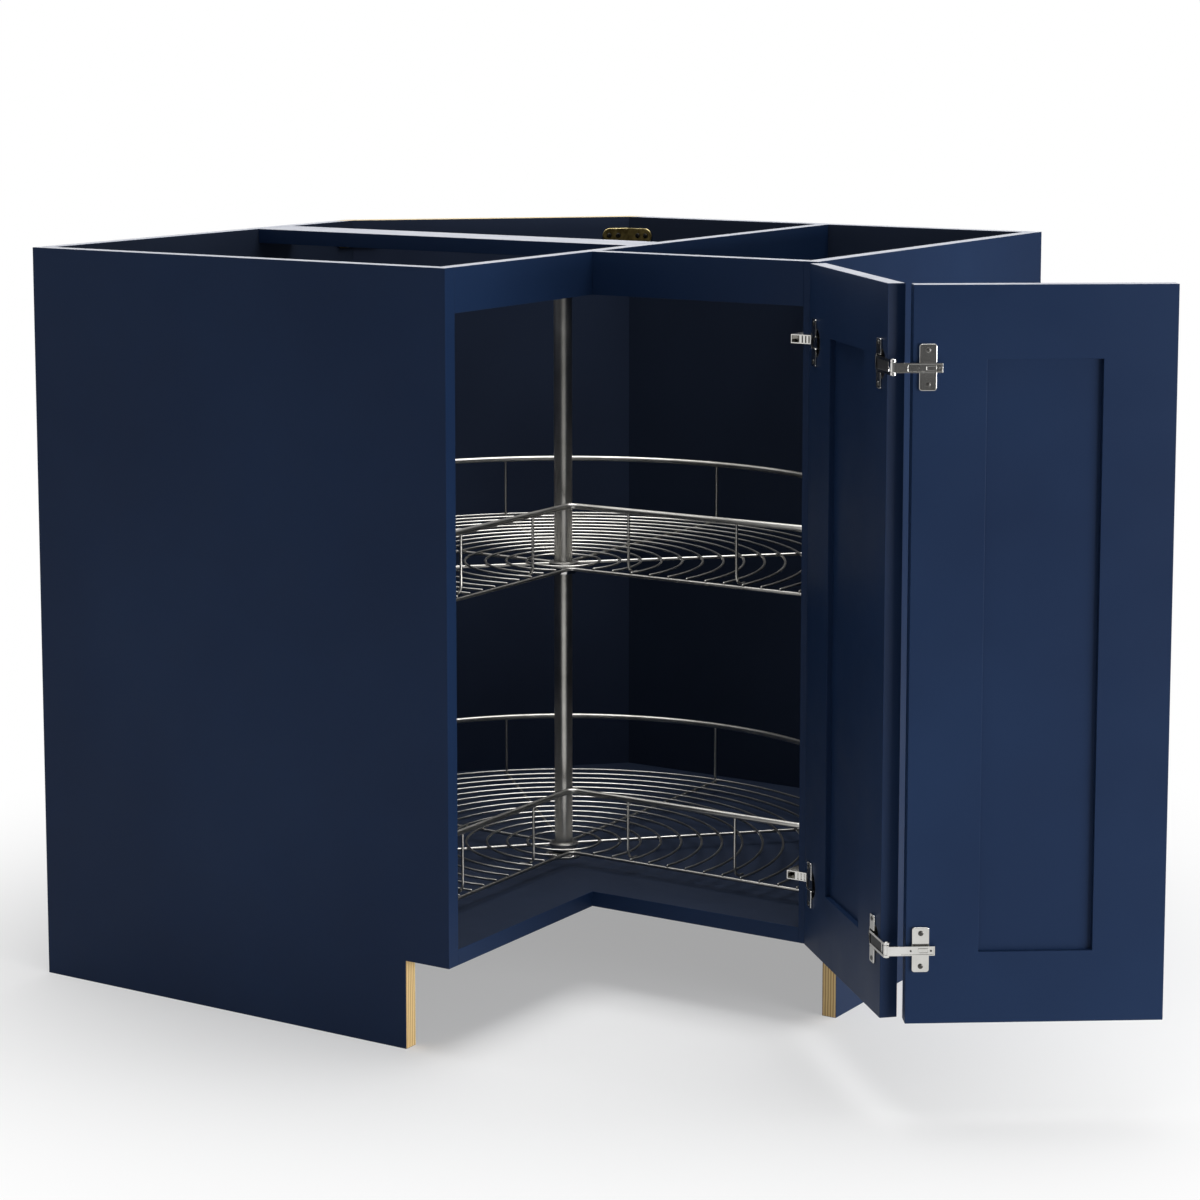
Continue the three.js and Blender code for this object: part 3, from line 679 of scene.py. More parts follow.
    def joined(self, tool: "Blank") -> "Blank":
        """Weld another blank to this one."""
        return self._worked(tool, "UNION")

    def moved(self, place: Matrix) -> "Blank":
        """Move the whole blank."""
        bmesh.ops.transform(self.bm, matrix=place, verts=self.bm.verts)
        return self

    def added(self, other: "Blank") -> "Blank":
        """Lay another blank beside this one in the same piece.

        Args:
            other: the other blank, which is used up.

        Returns:
            The blank itself.
        """
        mesh = bpy.data.meshes.new("added")
        other.bm.to_mesh(mesh)
        other.bm.free()
        self.bm.from_mesh(mesh)
        bpy.data.meshes.remove(mesh)
        return self

    @staticmethod
    def _evened(made: bpy.types.Object) -> None:
        """Weigh the shading normals by area, which keeps broad flat faces flat to the eye.

        Args:
            made: the object, whose mesh is replaced.
        """
        rough = made.data
        made.modifiers.new("evening", "WEIGHTED_NORMAL").keep_sharp = True
        bpy.context.view_layer.update()
        graph = bpy.context.evaluated_depsgraph_get()
        made.data = bpy.data.meshes.new_from_object(
            made.evaluated_get(graph), preserve_all_data_layers=True, depsgraph=graph
        )
        made.modifiers.clear()
        bpy.data.meshes.remove(rough)
        made.data.name = made.name

    def piece(
        self,
        name: str,
        rides: Rides,
        slot: Slot,
        finishes: Sequence[Finish],
        stands_for: Iterable[str],
        place: Matrix = HERE,
    ) -> None:
        """Finish the blank as a piece of the cabinet.

        Args:
            name: the piece's name.
            rides: the body that it rides on.
            slot: the record's slot that its finish belongs to; not used.
            finishes: its finishes, by their numbers.
            stands_for: the CAD nodes that it replaces.
            place: where the blank stands in the cabinet, if it was made elsewhere.
        """
        self.bm.normal_update()
        made = self._shown(name)
        self.bm.free()
        mesh = made.data
        mesh.transform(TO_FRAME @ place)
        for finish in finishes:
            mesh.materials.append(finish.material())
        mesh.polygons.foreach_set("use_smooth", [True] * len(mesh.polygons))
        mesh.set_sharp_from_angle(angle=self.SHARP_FROM)
        self._evened(made)
        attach(made, rides.value)
        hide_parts(*stands_for)
        log.info("%s: %d faces on %s", name, len(made.data.polygons), rides.value)


def rectangle(low: Pair, high: Pair) -> list[Pair]:
    """The corners of a rectangle."""
    return [low, (high[0], low[1]), high, (low[0], high[1])]


def arc(centre: Pair, radius: float, start: float, end: float, steps: int) -> list[Pair]:
    """Places along an arc.

    Args:
        centre: the arc's centre.
        radius: its radius.
        start: the angle it starts at, in radians.
        end: the angle it ends at.
        steps: how many straight steps it is drawn in.

    Returns:
        The places, both ends included.
    """
    angles = (start + (end - start) * step / steps for step in range(steps + 1))
    return [(centre[0] + radius * math.cos(t), centre[1] + radius * math.sin(t)) for t in angles]


def rounded(low: Pair, high: Pair, radius: float, steps: int = 6) -> list[Pair]:
    """The outline of a rectangle with round corners.

    Args:
        low: its low corner.
        high: its high corner.
        radius: the corners' radius.
        steps: straight steps round each corner.

    Returns:
        The outline.
    """
    (u0, v0), (u1, v1) = (low[0] + radius, low[1] + radius), (high[0] - radius, high[1] - radius)
    places = []
    for quarter, centre in enumerate(((u1, v1), (u0, v1), (u0, v0), (u1, v0))):
        start = quarter * math.pi / 2.0
        places += arc(centre, radius, start, start + math.pi / 2.0, steps)
    return places


def ring_section(inner: float, outer: float, bottom: float, top: float) -> list[Pair]:
    """The square section of a ring, or of a disc where the inner radius is 0."""
    return [(inner, bottom), (outer, bottom), (outer, top), (inner, top)]


@dataclass(frozen=True)
class PanHead:
    """A pan-head screw with a cross recess, as far as it shows."""

    radius: float
    height: float

    def on(self, place: Matrix) -> Blank:
        """The head on its seat.

        Args:
            place: the seat, whose z is the screw's axis.

        Returns:
            The head, in finish number 1.
        """
        radius, height = self.radius, self.height
        dome = [(0.0, -0.4), (radius, -0.4), (radius, height * 0.35), (radius * 0.8, height * 0.8)]
        head = Blank().turned([*dome, (radius * 0.4, height), (0.0, height)], HERE, 24, 1)
        long, wide = radius * 0.6, radius * 0.14
        arm = [(long, -wide), (long, wide), (wide, wide)]
        cross = []
        for _ in range(4):
            cross += arm
            arm = [(-v, u) for u, v in arm]
        return head.cut(Blank().prism(cross, HERE, height * 0.3, height * 2.0, 1)).moved(place)


def top_face(normal: Vector, middle: Vector) -> bool:
    """Whether a face looks up."""
    return normal.z > SQUARELY


# ---- carcass -----------------------------------------------------------------------------------
@dataclass
class Carcass:
    """The fixed boards: two sides, three backs, the floor, the front rails and the pole stretcher."""

    stretcher_width: float = 70.0
    easing: float = 0.4

    def build(self) -> None:
        """Make every board."""
        self.sides()
        self.backs()
        self.floor()
        self.rails()

    def board(
        self,
        blank: Blank,
        name: str,
        node: str,
        inside: Vector | None = None,
        bare: Finish = TOP_EDGE_HIGHLIGHT,
        inside_painted_light: SprayedLacquer = INSIDE_SHEEN_LACQUER,
    ) -> None:
        """Ease a board's edges and dress it.

        Args:
            blank: the board, with its top faces numbered 1 for the pale grey painted highlight, and its bare
                ones 2.
            name: the piece's name.
            node: the CAD node that it replaces.
            inside: which way its face inside the cabinet looks.
            bare: the finish of its bare ply faces.
            inside_painted_light: the finish of its face inside the cabinet, a greyer copy of the navy lacquer
                that paints in the sheen and light that fall there.
        """
        # finish 1, on the faces that look up, is the pale grey painted highlight
        finishes = [LACQUER, TOP_EDGE_HIGHLIGHT]
        if inside:
            # faces looking into the cabinet take a greyer copy of the lacquer, painted sheen and light
            blank.tag(3, lambda normal, middle: normal.dot(inside) > SQUARELY)
            finishes += [bare, inside_painted_light]
        blank.eased(self.easing).piece(name, Rides.CABINET, Slot.PAINT, finishes, [node])

    def sides(self) -> None:
        """The two side panels, bare ply where the toe space is cut out of them."""
        toe = LAYOUT.depth - LAYOUT.toe_recess
        side = [
            (0.0, 0.0),
            (toe, 0.0),
            (toe, LAYOUT.toe_height),
            (LAYOUT.depth, LAYOUT.toe_height),
            (LAYOUT.depth, LAYOUT.height),
            (0.0, LAYOUT.height),
        ]
        for name, push, inside, out, ply in (
            ("left_side", Push.ALONG_B, spot(0.0, -1.0), spot(1.0, 0.0), PLY_ACROSS_Y),
            ("right_side", Push.ALONG_A, spot(-1.0, 0.0), spot(0.0, 1.0), PLY_ACROSS_X),
        ):
            blank = Blank().prism(side, push, LAYOUT.inside_face, LAYOUT.wall_side).tag(1, top_face)
            sawn = LAYOUT.toe_height
            blank.tag(2, lambda normal, middle: normal.dot(out) > SQUARELY and middle.z < sawn)
            self.board(blank, f"{name}_board", f"{name}_panel", inside, ply)

    def backs(self) -> None:
        """The two back panels and the diagonal one between them, whose top edge is bare ply."""
        reach = LAYOUT.corner_cut + LAYOUT.board * math.sqrt(2.0)
        mitre = reach + LAYOUT.fit * math.sqrt(2.0)
        back = [
            (0.0, mitre),
            (LAYOUT.board, mitre - LAYOUT.board),
            (LAYOUT.board, LAYOUT.inside_face),
            (0.0, LAYOUT.inside_face),
        ]
        for name, outline, inside in (
            ("left_back", back, spot(1.0, 0.0)),
            ("right_back", [(b, a) for a, b in back], spot(0.0, 1.0)),
        ):
            blank = Blank().prism(outline, Push.UP, 0.0, LAYOUT.height).tag(1, top_face)
            self.board(blank, f"{name}_board", f"{name}_panel", inside)
        diagonal = [(0.0, LAYOUT.corner_cut), (0.0, reach), (reach, 0.0), (LAYOUT.corner_cut, 0.0)]
        blank = Blank().prism(diagonal, Push.UP, 0.0, LAYOUT.height).tag(2, top_face)
        names = ("diagonal_back_board", "diagonal_back_panel")
        # the diagonal board's inside face takes the lighter copy of the lacquer, painted light
        self.board(blank, *names, spot(1.0, 1.0).normalized(), PLY_ACROSS_CORNER, DIAGONAL_LIT_LACQUER)

    def floor(self) -> None:
        """The L-shaped floor panel, with the room corner cut off."""
        mitre = LAYOUT.corner_cut + (LAYOUT.board + LAYOUT.fit) * math.sqrt(2.0)
        half = [(mitre - LAYOUT.board, LAYOUT.board), (LAYOUT.inside_face, LAYOUT.board)]
        half += [(LAYOUT.inside_face, LAYOUT.depth), (LAYOUT.depth, LAYOUT.depth)]
        rest = [(b, a) for a, b in half[:3]]
        blank = Blank().prism(half + rest[::-1], Push.UP, LAYOUT.toe_height, LAYOUT.floor_top)
        self.board(blank, "floor_board", "floor_panel", Vector((0.0, 0.0, 1.0)))

    def rails(self) -> None:
        """The two front rails and the flat stretcher that holds the top of the pole."""
        front = (LAYOUT.depth - LAYOUT.board, LAYOUT.depth)
        rail_span = (LAYOUT.height - LAYOUT.rail_height, LAYOUT.height)
        flat_span = (LAYOUT.height - LAYOUT.board, LAYOUT.height)
        pole_face = LAYOUT.pole + LAYOUT.pole_radius
        across = (pole_face - self.stretcher_width, pole_face)
        for node, a, b, z in (
            ("long_front_rail", front, (LAYOUT.board, LAYOUT.inside_face), rail_span),
            ("short_front_rail", (LAYOUT.depth, LAYOUT.inside_face), front, rail_span),
            ("pole_stretcher", (LAYOUT.board, front[0]), across, flat_span),
        ):
            self.board(Blank().block(a, b, z).tag(1, top_face), f"{node}_board", node)


@dataclass
class CornerBrackets:
    """Two bent brass strips that tie the diagonal board to the back boards."""

    leg: float = 37.0
    height: float = 20.0
    steel: float = 2.5
    drop: float = 25.0
    easing: float = 1.1
    screw_places: Pair = (15.5, 28.0)
    screw: PanHead = PanHead(3.4, 1.8)

    def build(self) -> None:
        """Make both brackets."""
        self.bracket("right_corner_bracket", False)
        self.bracket("left_corner_bracket", True)

    def bracket(self, node: str, mirrored: bool) -> None:
        """One bracket, lying on the inner faces of its two boards.

        Args:
            node: the CAD node that it replaces.
            mirrored: whether it is the one on the left wall.
        """
        bend = LAYOUT.corner_cut + LAYOUT.board * math.sqrt(2.0) - LAYOUT.board
        corner = seat(bend, LAYOUT.board, LAYOUT.height - self.drop)
        half = self.height / 2.0
        start = math.tan(math.pi / 8.0) * LAYOUT.fit
        tip = arc((self.leg - half, 0.0), half, -math.pi / 2.0, math.pi / 2.0, 16)
        strip = [(start, -half), *tip, (start, half)]
        blank, screws = Blank(), Blank()
        for angle, way in ((0.0, 1.0), (-3.0 * math.pi / 4.0, -1.0)):
            plane = corner @ Matrix.Rotation(angle, 4, "Z") @ ALONG_B
            faces = (LAYOUT.fit * way, (LAYOUT.fit + self.steel) * way)
            blank.prism(strip, plane, *sorted(faces))
            for reach in self.screw_places:
                place = plane @ Matrix.Translation((reach, 0.0, faces[1]))
                screws.added(self.screw.on(place if way > 0.0 else place @ UPSIDE_DOWN))
        blank.eased(self.easing, 3).tag(2, self.rim).added(screws)
        if mirrored:
            blank.moved(Matrix(((0, -1, 0, 0), (-1, 0, 0, 0), (0, 0, 1, 0), (0, 0, 0, 1))))
            bmesh.ops.reverse_faces(blank.bm, faces=blank.bm.faces)
        finishes = [BRASS, BLACK_STEEL, WORN_BRASS]
        blank.piece(f"{node}_strip", Rides.CABINET, Slot.BRASS, finishes, [node])

    @staticmethod
    def rim(normal: Vector, middle: Vector) -> bool:
        """Whether a face belongs to a strip's rounded edge."""
        flat = 0.93  # the cosine within which a face looks out from its leg's own face
        return abs(normal.y) < flat and abs(normal.x - normal.y) * math.sqrt(0.5) < flat


# ---- pole and shelves --------------------------------------------------------------------------
@dataclass
class PoleFittings:
    """The tube that the shelves turn on, with its flanges, the lower bearing and the upper collar."""

    sides: int = 64
    wall: float = 1.2
    flange_radius: float = 22.0
    flange_steel: float = 3.0
    flange_screw: PanHead = PanHead(2.6, 1.0)
    flange_screw_reach: float = 18.3
    flange_screw_turn: float = 0.35
    socket_wall: float = 3.4
    base_socket: float = 2.5
    top_socket: float = 20.0
    bearing_wall: float = 2.7
    collar_wall: float = 4.7
    collar_height: float = 8.0
    grub: PanHead = PanHead(2.0, 0.8)

    def build(self, lower: "WireShelf", upper: "WireShelf") -> None:
        """Make the tube and its fittings.

        Args:
            lower: the shelf that stands on the bearing.
            upper: the shelf that stands on the collar.
        """
        bore = LAYOUT.pole_bore
        flange_top = LAYOUT.floor_top + self.flange_steel
        ceiling = LAYOUT.height - LAYOUT.board
        tube = ring_section(LAYOUT.pole_radius - self.wall, LAYOUT.pole_radius, flange_top, ceiling)
        blank = Blank().turned(tube, POLE_AXIS, self.sides)
        blank.piece("pole_tube", Rides.CABINET, Slot.WIRE, [BRUSHED_NICKEL], ["pole"])

        self.flange("pole_foot", "pole_base_flange", LAYOUT.floor_top, 1.0, self.base_socket)
        self.flange("pole_head", "pole_top_socket", ceiling, -1.0, self.top_socket)

        bottom, top = flange_top + self.base_socket, lower.sleeve_bottom - LAYOUT.fit
        bearing = ring_section(bore, bore + self.bearing_wall, bottom, top)
        blank = Blank().turned(bearing, POLE_AXIS, self.sides).eased(0.3)
        blank.piece("lower_bearing_ring", Rides.CABINET, Slot.NYLON, [NYLON], ["lower_shelf_bearing"])

        top = upper.sleeve_bottom - LAYOUT.fit
        outer = bore + self.collar_wall
        collar = ring_section(bore, outer, top - self.collar_height, top)
        blank = Blank().turned(collar, POLE_AXIS, self.sides).eased(0.6, 3)
        grub_seat = seat(LAYOUT.pole, LAYOUT.pole + outer, top - self.collar_height / 2.0)
        blank.added(self.grub.on(grub_seat @ ALONG_B))
        finishes = [BRIGHT_NICKEL, DARK_STEEL]
        blank.piece("upper_collar_ring", Rides.UPPER_COLLAR, Slot.HINGE, finishes, ["upper_shelf_collar"])

    def flange(self, name: str, node: str, seated: float, up: float, socket: float) -> None:
        """A screwed flange with the socket that holds an end of the pole.

        Args:
            name: the piece's name.
            node: the CAD node that it replaces.
            seated: the height of the face that it is screwed to.
            up: 1 where it stands on that face, or -1 where it hangs from it.
            socket: how far its socket reaches past the flange.
        """
        bore = LAYOUT.pole_bore
        face = seated + up * self.flange_steel
        profile = [
            (bore, seated),
            (self.flange_radius, seated),
            (self.flange_radius, face),
            (bore + self.socket_wall, face),
            (bore + self.socket_wall, face + up * socket),
            (bore, face + up * socket),
        ]
        blank = Blank().turned(profile, POLE_AXIS, self.sides).eased(0.5, 3)
        for third in range(3):
            turn = self.flange_screw_turn + third * 2.0 * math.pi / 3.0
            a, b = (LAYOUT.pole + self.flange_screw_reach * way for way in (math.cos(turn), math.sin(turn)))
            place = seat(a, b, face)
            blank.added(self.flange_screw.on(place if up > 0.0 else place @ UPSIDE_DOWN))
        blank.piece(name, Rides.CABINET, Slot.WIRE, [BRUSHED_NICKEL, BRIGHT_NICKEL], [node])


@dataclass
class WireShelf:
    """One pie-cut basket: ring wires on radial wires, a notch wire, and a guard rail on posts."""

    name: str
    level: float
    body: Rides
    radius: float = 370.0
    notch: float = 30.0
    notch_bend: float = 8.0
    smallest: float = 45.0
    pitch: float = 25.0
    ring_wire: float = 3.0
    ring_step: float = 3.2
    support_wire: float = 4.0
    post_wire: float = 3.4
    guard_wire: float = 7.0
    guard_height: float = 74.0
    post_places: Pair = (112.0, 260.0)
    apex_bend: float = 12.0
    outer_bend: float = 25.0
    foot_bend: float = 13.0
    foot_length: float = 6.0
    foot_drop: float = 1.0
    weld: float = 0.3
    rail_weld: float = 0.5
    hub_radius: float = 18.0
    hub_thickness: float = 3.6
    hub_drop: float = 2.8
    sleeve_wall: float = 3.7
    sleeve_height: float = 2.0
    lip_wall: float = 2.4
    lip_height: float = 0.9

    @property
    def support_level(self) -> float:
        """The height of the support wires' middle."""
        return self.level - (self.ring_wire + self.support_wire) / 2.0 + self.weld

    @property
    def sleeve_bottom(self) -> float:
        """The lowest edge of the hub."""
        return self.level - self.hub_drop - self.hub_thickness / 2.0 - self.sleeve_height

    @property
    def radial_ways(self) -> list[Pair]:
        """Which ways the radial wires run from the pole."""
        angles = (-step * math.pi / 4.0 for step in range(1, 6))
        return [(math.cos(t), math.sin(t)) for t in angles]

    def build(self) -> None:
        """Make the basket's wires, guard rail and hub."""
        wires = [f"wires_{end}" for end in ("right_front", "right_back", "left_back", "left_front")]
        self.part("rings", self.rings(), wires)
        self.part("supports", self.supports(), wires)
        self.part("rail", self.guard_rail(), ["guard_rail"])
        self.part("boss", self.hub(), ["hub"])

    def part(self, name: str, blank: Blank, nodes: Sequence[str]) -> None:
        """Finish a part of the basket.

        Args:
            name: the piece's name after the shelf's own.
            blank: the part.
            nodes: the CAD nodes that it replaces, likewise.
        """
        stands_for = [f"{self.name}_shelf_{node}" for node in nodes]
        blank.piece(f"{self.name}_shelf_{name}", self.body, Slot.WIRE, [BRUSHED_NICKEL], stands_for)

    def at(self, places: Iterable[Pair], z: float) -> list[Vector]:
        """Places counted from the pole, as places in the cabinet."""
        return [spot(LAYOUT.pole + p, LAYOUT.pole + q, z) for p, q in places]

    def rings(self) -> Blank:
        """The ring wires, open at the notch but for the smallest.

        Returns:
            The wires.
        """
        blank = Blank()
        radius = self.radius
        while radius >= self.smallest:
            steps = max(24, int(radius / self.ring_step))
            start = math.asin(self.notch / radius)
            whole = radius < self.smallest + self.pitch / 2.0
            if whole:
                places = arc((0.0, 0.0), radius, 0.0, -2.0 * math.pi, steps)[:-1]
            else:
                places = arc((0.0, 0.0), radius, start, math.pi / 2.0 - start - 2.0 * math.pi, steps)
            blank.wire(self.at(places, self.level), self.ring_wire, 10, whole)
            radius -= self.pitch
        return blank

    def supports(self) -> Blank:
        """The radial wires and the notch wire, under the ring wires.

        Returns:
            The wires.
        """
        blank = Blank()
        for p, q in self.radial_ways:
            places = [(reach * p, reach * q) for reach in (self.hub_radius - 1.0, self.radius + 1.0)]
            blank.wire(self.at(places, self.support_level), self.support_wire)
        bend, inner = self.notch_bend, self.notch + self.notch_bend
        end = math.sqrt(self.radius**2 - self.notch**2)
        corner = arc((inner, inner), bend, -math.pi / 2.0, -math.pi, 10)
        places = [(end, self.notch), *corner, (self.notch, end)]
        return blank.wire(self.at(places, self.support_level), self.support_wire, 12)

    def rail_places(self) -> list[Pair]:
        """The guard rail's whole loop.

        Returns:
            Its places counted from the pole, once round.
        """
        apex = self.notch + self.apex_bend
        start = arc((apex, apex), self.apex_bend, -3.0 * math.pi / 4.0, -math.pi / 2.0, 8)
        bend_radius, bend_q = self.radius - self.outer_bend, self.notch - self.outer_bend
        bend_p = math.sqrt(bend_radius**2 - bend_q**2)
        meet = math.atan2(bend_q, bend_p)
        outer = arc((bend_p, bend_q), self.outer_bend, math.pi / 2.0, meet, 12)
        straight = [(apex + (bend_p - apex) * step / 8.0, self.notch) for step in range(1, 8)]
        back = arc((0.0, 0.0), self.radius, meet, -3.0 * math.pi / 4.0, 60)
        half = [*start, *straight, *outer, *back[1:]]
        return half + [(q, p) for p, q in half[-2:0:-1]]

    def guard_rail(self) -> Blank:
        """The thick rail and the thin posts that stand it on the floor wires.

        Returns:
            The rail and its posts.
        """
        z = self.level + self.guard_height
        top = z - self.guard_wire / 2.0 + self.rail_weld
        blank = Blank().wire(self.at(self.rail_places(), z), self.guard_wire, 16, True)
        for reach in self.post_places:
            for swap in (False, True):
                blank.wire(self.bent_post(reach, top, swap), self.post_wire)
        for p, q in self.radial_ways:
            place = [(self.radius * p, self.radius * q)]
            blank.wire(self.at(place, self.level) + self.at(place, top), self.post_wire)
        return blank

    def bent_post(self, reach: float, top: float, swap: bool) -> list[Vector]:
        """A post beside the notch, whose foot bends in and lies along the floor wires.

        Args:
            reach: how far from the pole it stands along the notch.
            top: the height of its upper end.
            swap: whether it stands on the other edge of the notch.

        Returns:
            The places that the post's middle passes through.
        """
        foot, bend = self.level - self.foot_drop, self.foot_bend
        turn = arc((self.notch - bend, foot + bend), bend, 0.0, -math.pi / 2.0, 8)
        side = [(self.notch, top), *turn, (self.notch - bend - self.foot_length, foot)]
        pole = LAYOUT.pole
        if swap:
            return [spot(pole + across, pole + reach, z) for across, z in side]
        return [spot(pole + reach, pole + across, z) for across, z in side]

    def hub(self) -> Blank:
        """The disc that the radial wires are welded to, with the sleeve that turns on the pole.

        Returns:
            The hub.
        """
        bore = LAYOUT.pole_bore
        top = self.support_level + self.hub_thickness / 2.0
        bottom = top - self.hub_thickness
        profile = [
            (bore, self.sleeve_bottom),
            (bore + self.sleeve_wall, self.sleeve_bottom),
            (bore + self.sleeve_wall, bottom),
            (self.hub_radius, bottom),
            (self.hub_radius, top),
            (bore + self.lip_wall, top),
            (bore + self.lip_wall, top + self.lip_height),
            (bore, top + self.lip_height),
        ]
        return Blank().turned(profile, POLE_AXIS, 64).eased(0.35, 3)


# ---- doors and hinges --------------------------------------------------------------------------
@dataclass
class CupHinge:
    """What both kinds of hinge have: a cup sunk in the first leaf and links on a pin."""

    heights: dict[str, float]
    arm_height: float = 10.0
    plate_width: float = 18.0
    plate_height: float = 48.0
    plate_corner: float = 3.0
    plate_steel: float = 2.5
    cup_radius: float = 17.5
    cup_depth: float = 11.5
    cup_wall: float = 1.2
    cup_sunk: float = 0.3
    bore_room: Pair = (0.15, 0.2)
    flange_reach: float = 26.0
    flange_half_width: float = 7.0
    flange_steel: float = 2.2
    flange_screw: PanHead = PanHead(2.6, 0.9)
    flange_screw_reach: float = 21.3
    spring_top: float = 7.2
    spring_half: Pair = (9.0, 6.5)
    knuckle: float = 3.0
    link_steel: float = 2.7
    screw_spread: float = 17.5

    @property
    def arm_half(self) -> float:
        """From the hinge's middle height to the arm's upper face."""
        return self.arm_height / 2.0

    @property
    def link_start(self) -> float:
        """From the hinge's middle height to the nearer face of a link."""
        return self.arm_half + LAYOUT.fit

    def bore(self, along: float, z: float) -> Blank:
        """The round hole that the cup is sunk in.

        Args:
            along: the cup's middle along the leaf.
            z: its height.

        Returns:
            The shape to cut out.
        """
        wider, deeper = self.bore_room
        profile = ring_section(0.0, self.cup_radius + wider, -2.0, self.cup_depth + deeper)
        return Blank().turned(profile, self.into_leaf(along, z))

    def into_leaf(self, along: float, z: float) -> Matrix:
        """A place on the shut first leaf's inner face, with z into the leaf."""
        return seat(along, LAYOUT.inner_front, z) @ ALONG_B

    def eye(self, pin: Pair, low: float, high: float) -> Blank:
        """The round end of a link or an arm, about a pin."""
        return Blank().turned(ring_section(0.0, self.knuckle, low, high), seat(*pin), 32)

    def cup(self, along: float, z: float, opening: float, bridge: float = 0.0) -> Blank:
        """The pressed flange with its two screws, over the dark nylon cup, whose dark also paints the shade
        in its bore.

        Args:
            along: the cup's middle along the leaf.
            z: its height.
            opening: how much of the flange's middle is pressed away, to clear the links or the arm.
            bridge: the thickness of the steel that is left across that opening.

        Returns:
            The flange, its screws and the cup.
        """
        blank = Blank()
        width, reach, middle = self.flange_half_width, self.flange_reach, opening / 2.0
        for low, high in ((-reach, -middle), (middle, reach)):
            blank.prism(rounded((-width, low), (width, high), 2.0, 4), HERE, -self.flange_steel, 0.0)
        blank.eased(0.6)
        if bridge:
            strip = rectangle((-width, -middle), (width, middle))
            blank.added(Blank().prism(strip, HERE, -bridge, -0.05))
        for side in (-self.flange_screw_reach, self.flange_screw_reach):
            ear = Matrix.Translation((0.0, side, -self.flange_steel))
            blank.added(self.flange_screw.on(ear @ UPSIDE_DOWN))
        rim, deep, sunk = self.cup_radius, self.cup_depth, self.cup_sunk
        # the cup, in finish 2, black nylon: a moulded cup, kept dark as painted shade in the bore round the
        # flange
        shell = [(0.0, deep), (rim, deep), (rim, sunk), (rim - self.cup_wall, sunk)]
        shell += [(rim - self.cup_wall, deep - 1.0), (0.0, deep - 1.0)]
        blank.added(Blank().turned(shell, HERE, 48, 2).eased(0.3))
        # the sprung tongue that fills the well behind the links
        u, v = self.spring_half
        spring = Blank().prism(rounded((-u, -v), (u, v), 2.0, 3), HERE, self.spring_top, deep - 1.1)
        return blank.added(spring.eased(0.6)).moved(self.into_leaf(along, z))

    def links(self, bar: Outline, pin: Pair, z: float) -> Blank:
        """The two link plates above and below the arm, with the pin's eyes.

        Args:
            bar: the outline of a link, in plan.
            pin: the pin's place.
            z: the hinge's height.

        Returns:
            The links.
        """
        blank = Blank()
        for low in (z + self.link_start, z - self.link_start - self.link_steel):
            high = low + self.link_steel
            link = Blank().prism(bar, Push.UP, low, high).joined(self.eye(pin, low, high))
            blank.added(link.eased(0.5))
        return blank

    def leaf_half(self, end: str, kind: str, blank: Blank) -> None:
        """Finish what a hinge has on the first leaf.

        Args:
            end: lower or upper.
            kind: the kind's short name.
            blank: the cup and the links.
        """
        node = f"{end}_{'cabinet' if kind == 'swing' else kind}_hinge_cup"
        # finish 2, the black nylon, also paints shade: the dark cup in its bore and the dark sheet between
        # the links
        finishes = [BRIGHT_NICKEL, DARK_STEEL, NYLON]
        blank.piece(f"{end}_{kind}_cup", Rides.FIRST_LEAF, Slot.HINGE, finishes, [node], FIRST_LEAF_PLACE)

    def rivet(self, name: str, pin: Pair, z: float, rides: Rides, node: str, place: Matrix) -> None:
        """The hinge pin, riveted over at both ends.

        Args:
            name: the piece's name.
            pin: the pin's place in plan.
            z: the hinge's height.
            rides: the body that it rides on.
            node: the CAD node that it replaces.
            place: where it stands once its leaf is open.
        """
        half = self.link_start + self.link_steel
        lower = [(0.0, -half - 0.7), (1.5, -half - 0.7), (2.0, -half - 0.05), (1.3, -half)]
        profile = lower + [(radius, -height) for radius, height in lower[::-1]]
        blank = Blank().turned(profile, seat(*pin, z), 24)
        blank.piece(name, rides, Slot.HINGE, [BRIGHT_NICKEL], [node], place)

    def plate(self, middle: float, z: float, face: float, back: float) -> Blank:
        """An upright mounting plate.

        Args:
            middle: its middle across the cabinet.
            z: the hinge's height.
            face: where its open face is.
            back: where its other face is.

        Returns:
            The plate.
        """
        wide, tall = self.plate_width / 2.0, self.plate_height / 2.0
        outline = rounded((middle - wide, z - tall), (middle + wide, z + tall), self.plate_corner)
        return Blank().prism(outline, Push.ALONG_A, face, back)

    def plate_screws(self, plate: Blank, screw: PanHead, middle: float, z: float, face: float) -> None:
        """Lay a plate's two screws beside it.

        Args:
            plate: the plate.
            screw: the screws' heads.
            middle: the plate's middle across the cabinet.
            z: the hinge's height.
            face: where the plate's open face is.
        """
        for side in (-self.screw_spread, self.screw_spread):
            plate.added(screw.on(seat(face, middle, z + side) @ AGAINST_A))


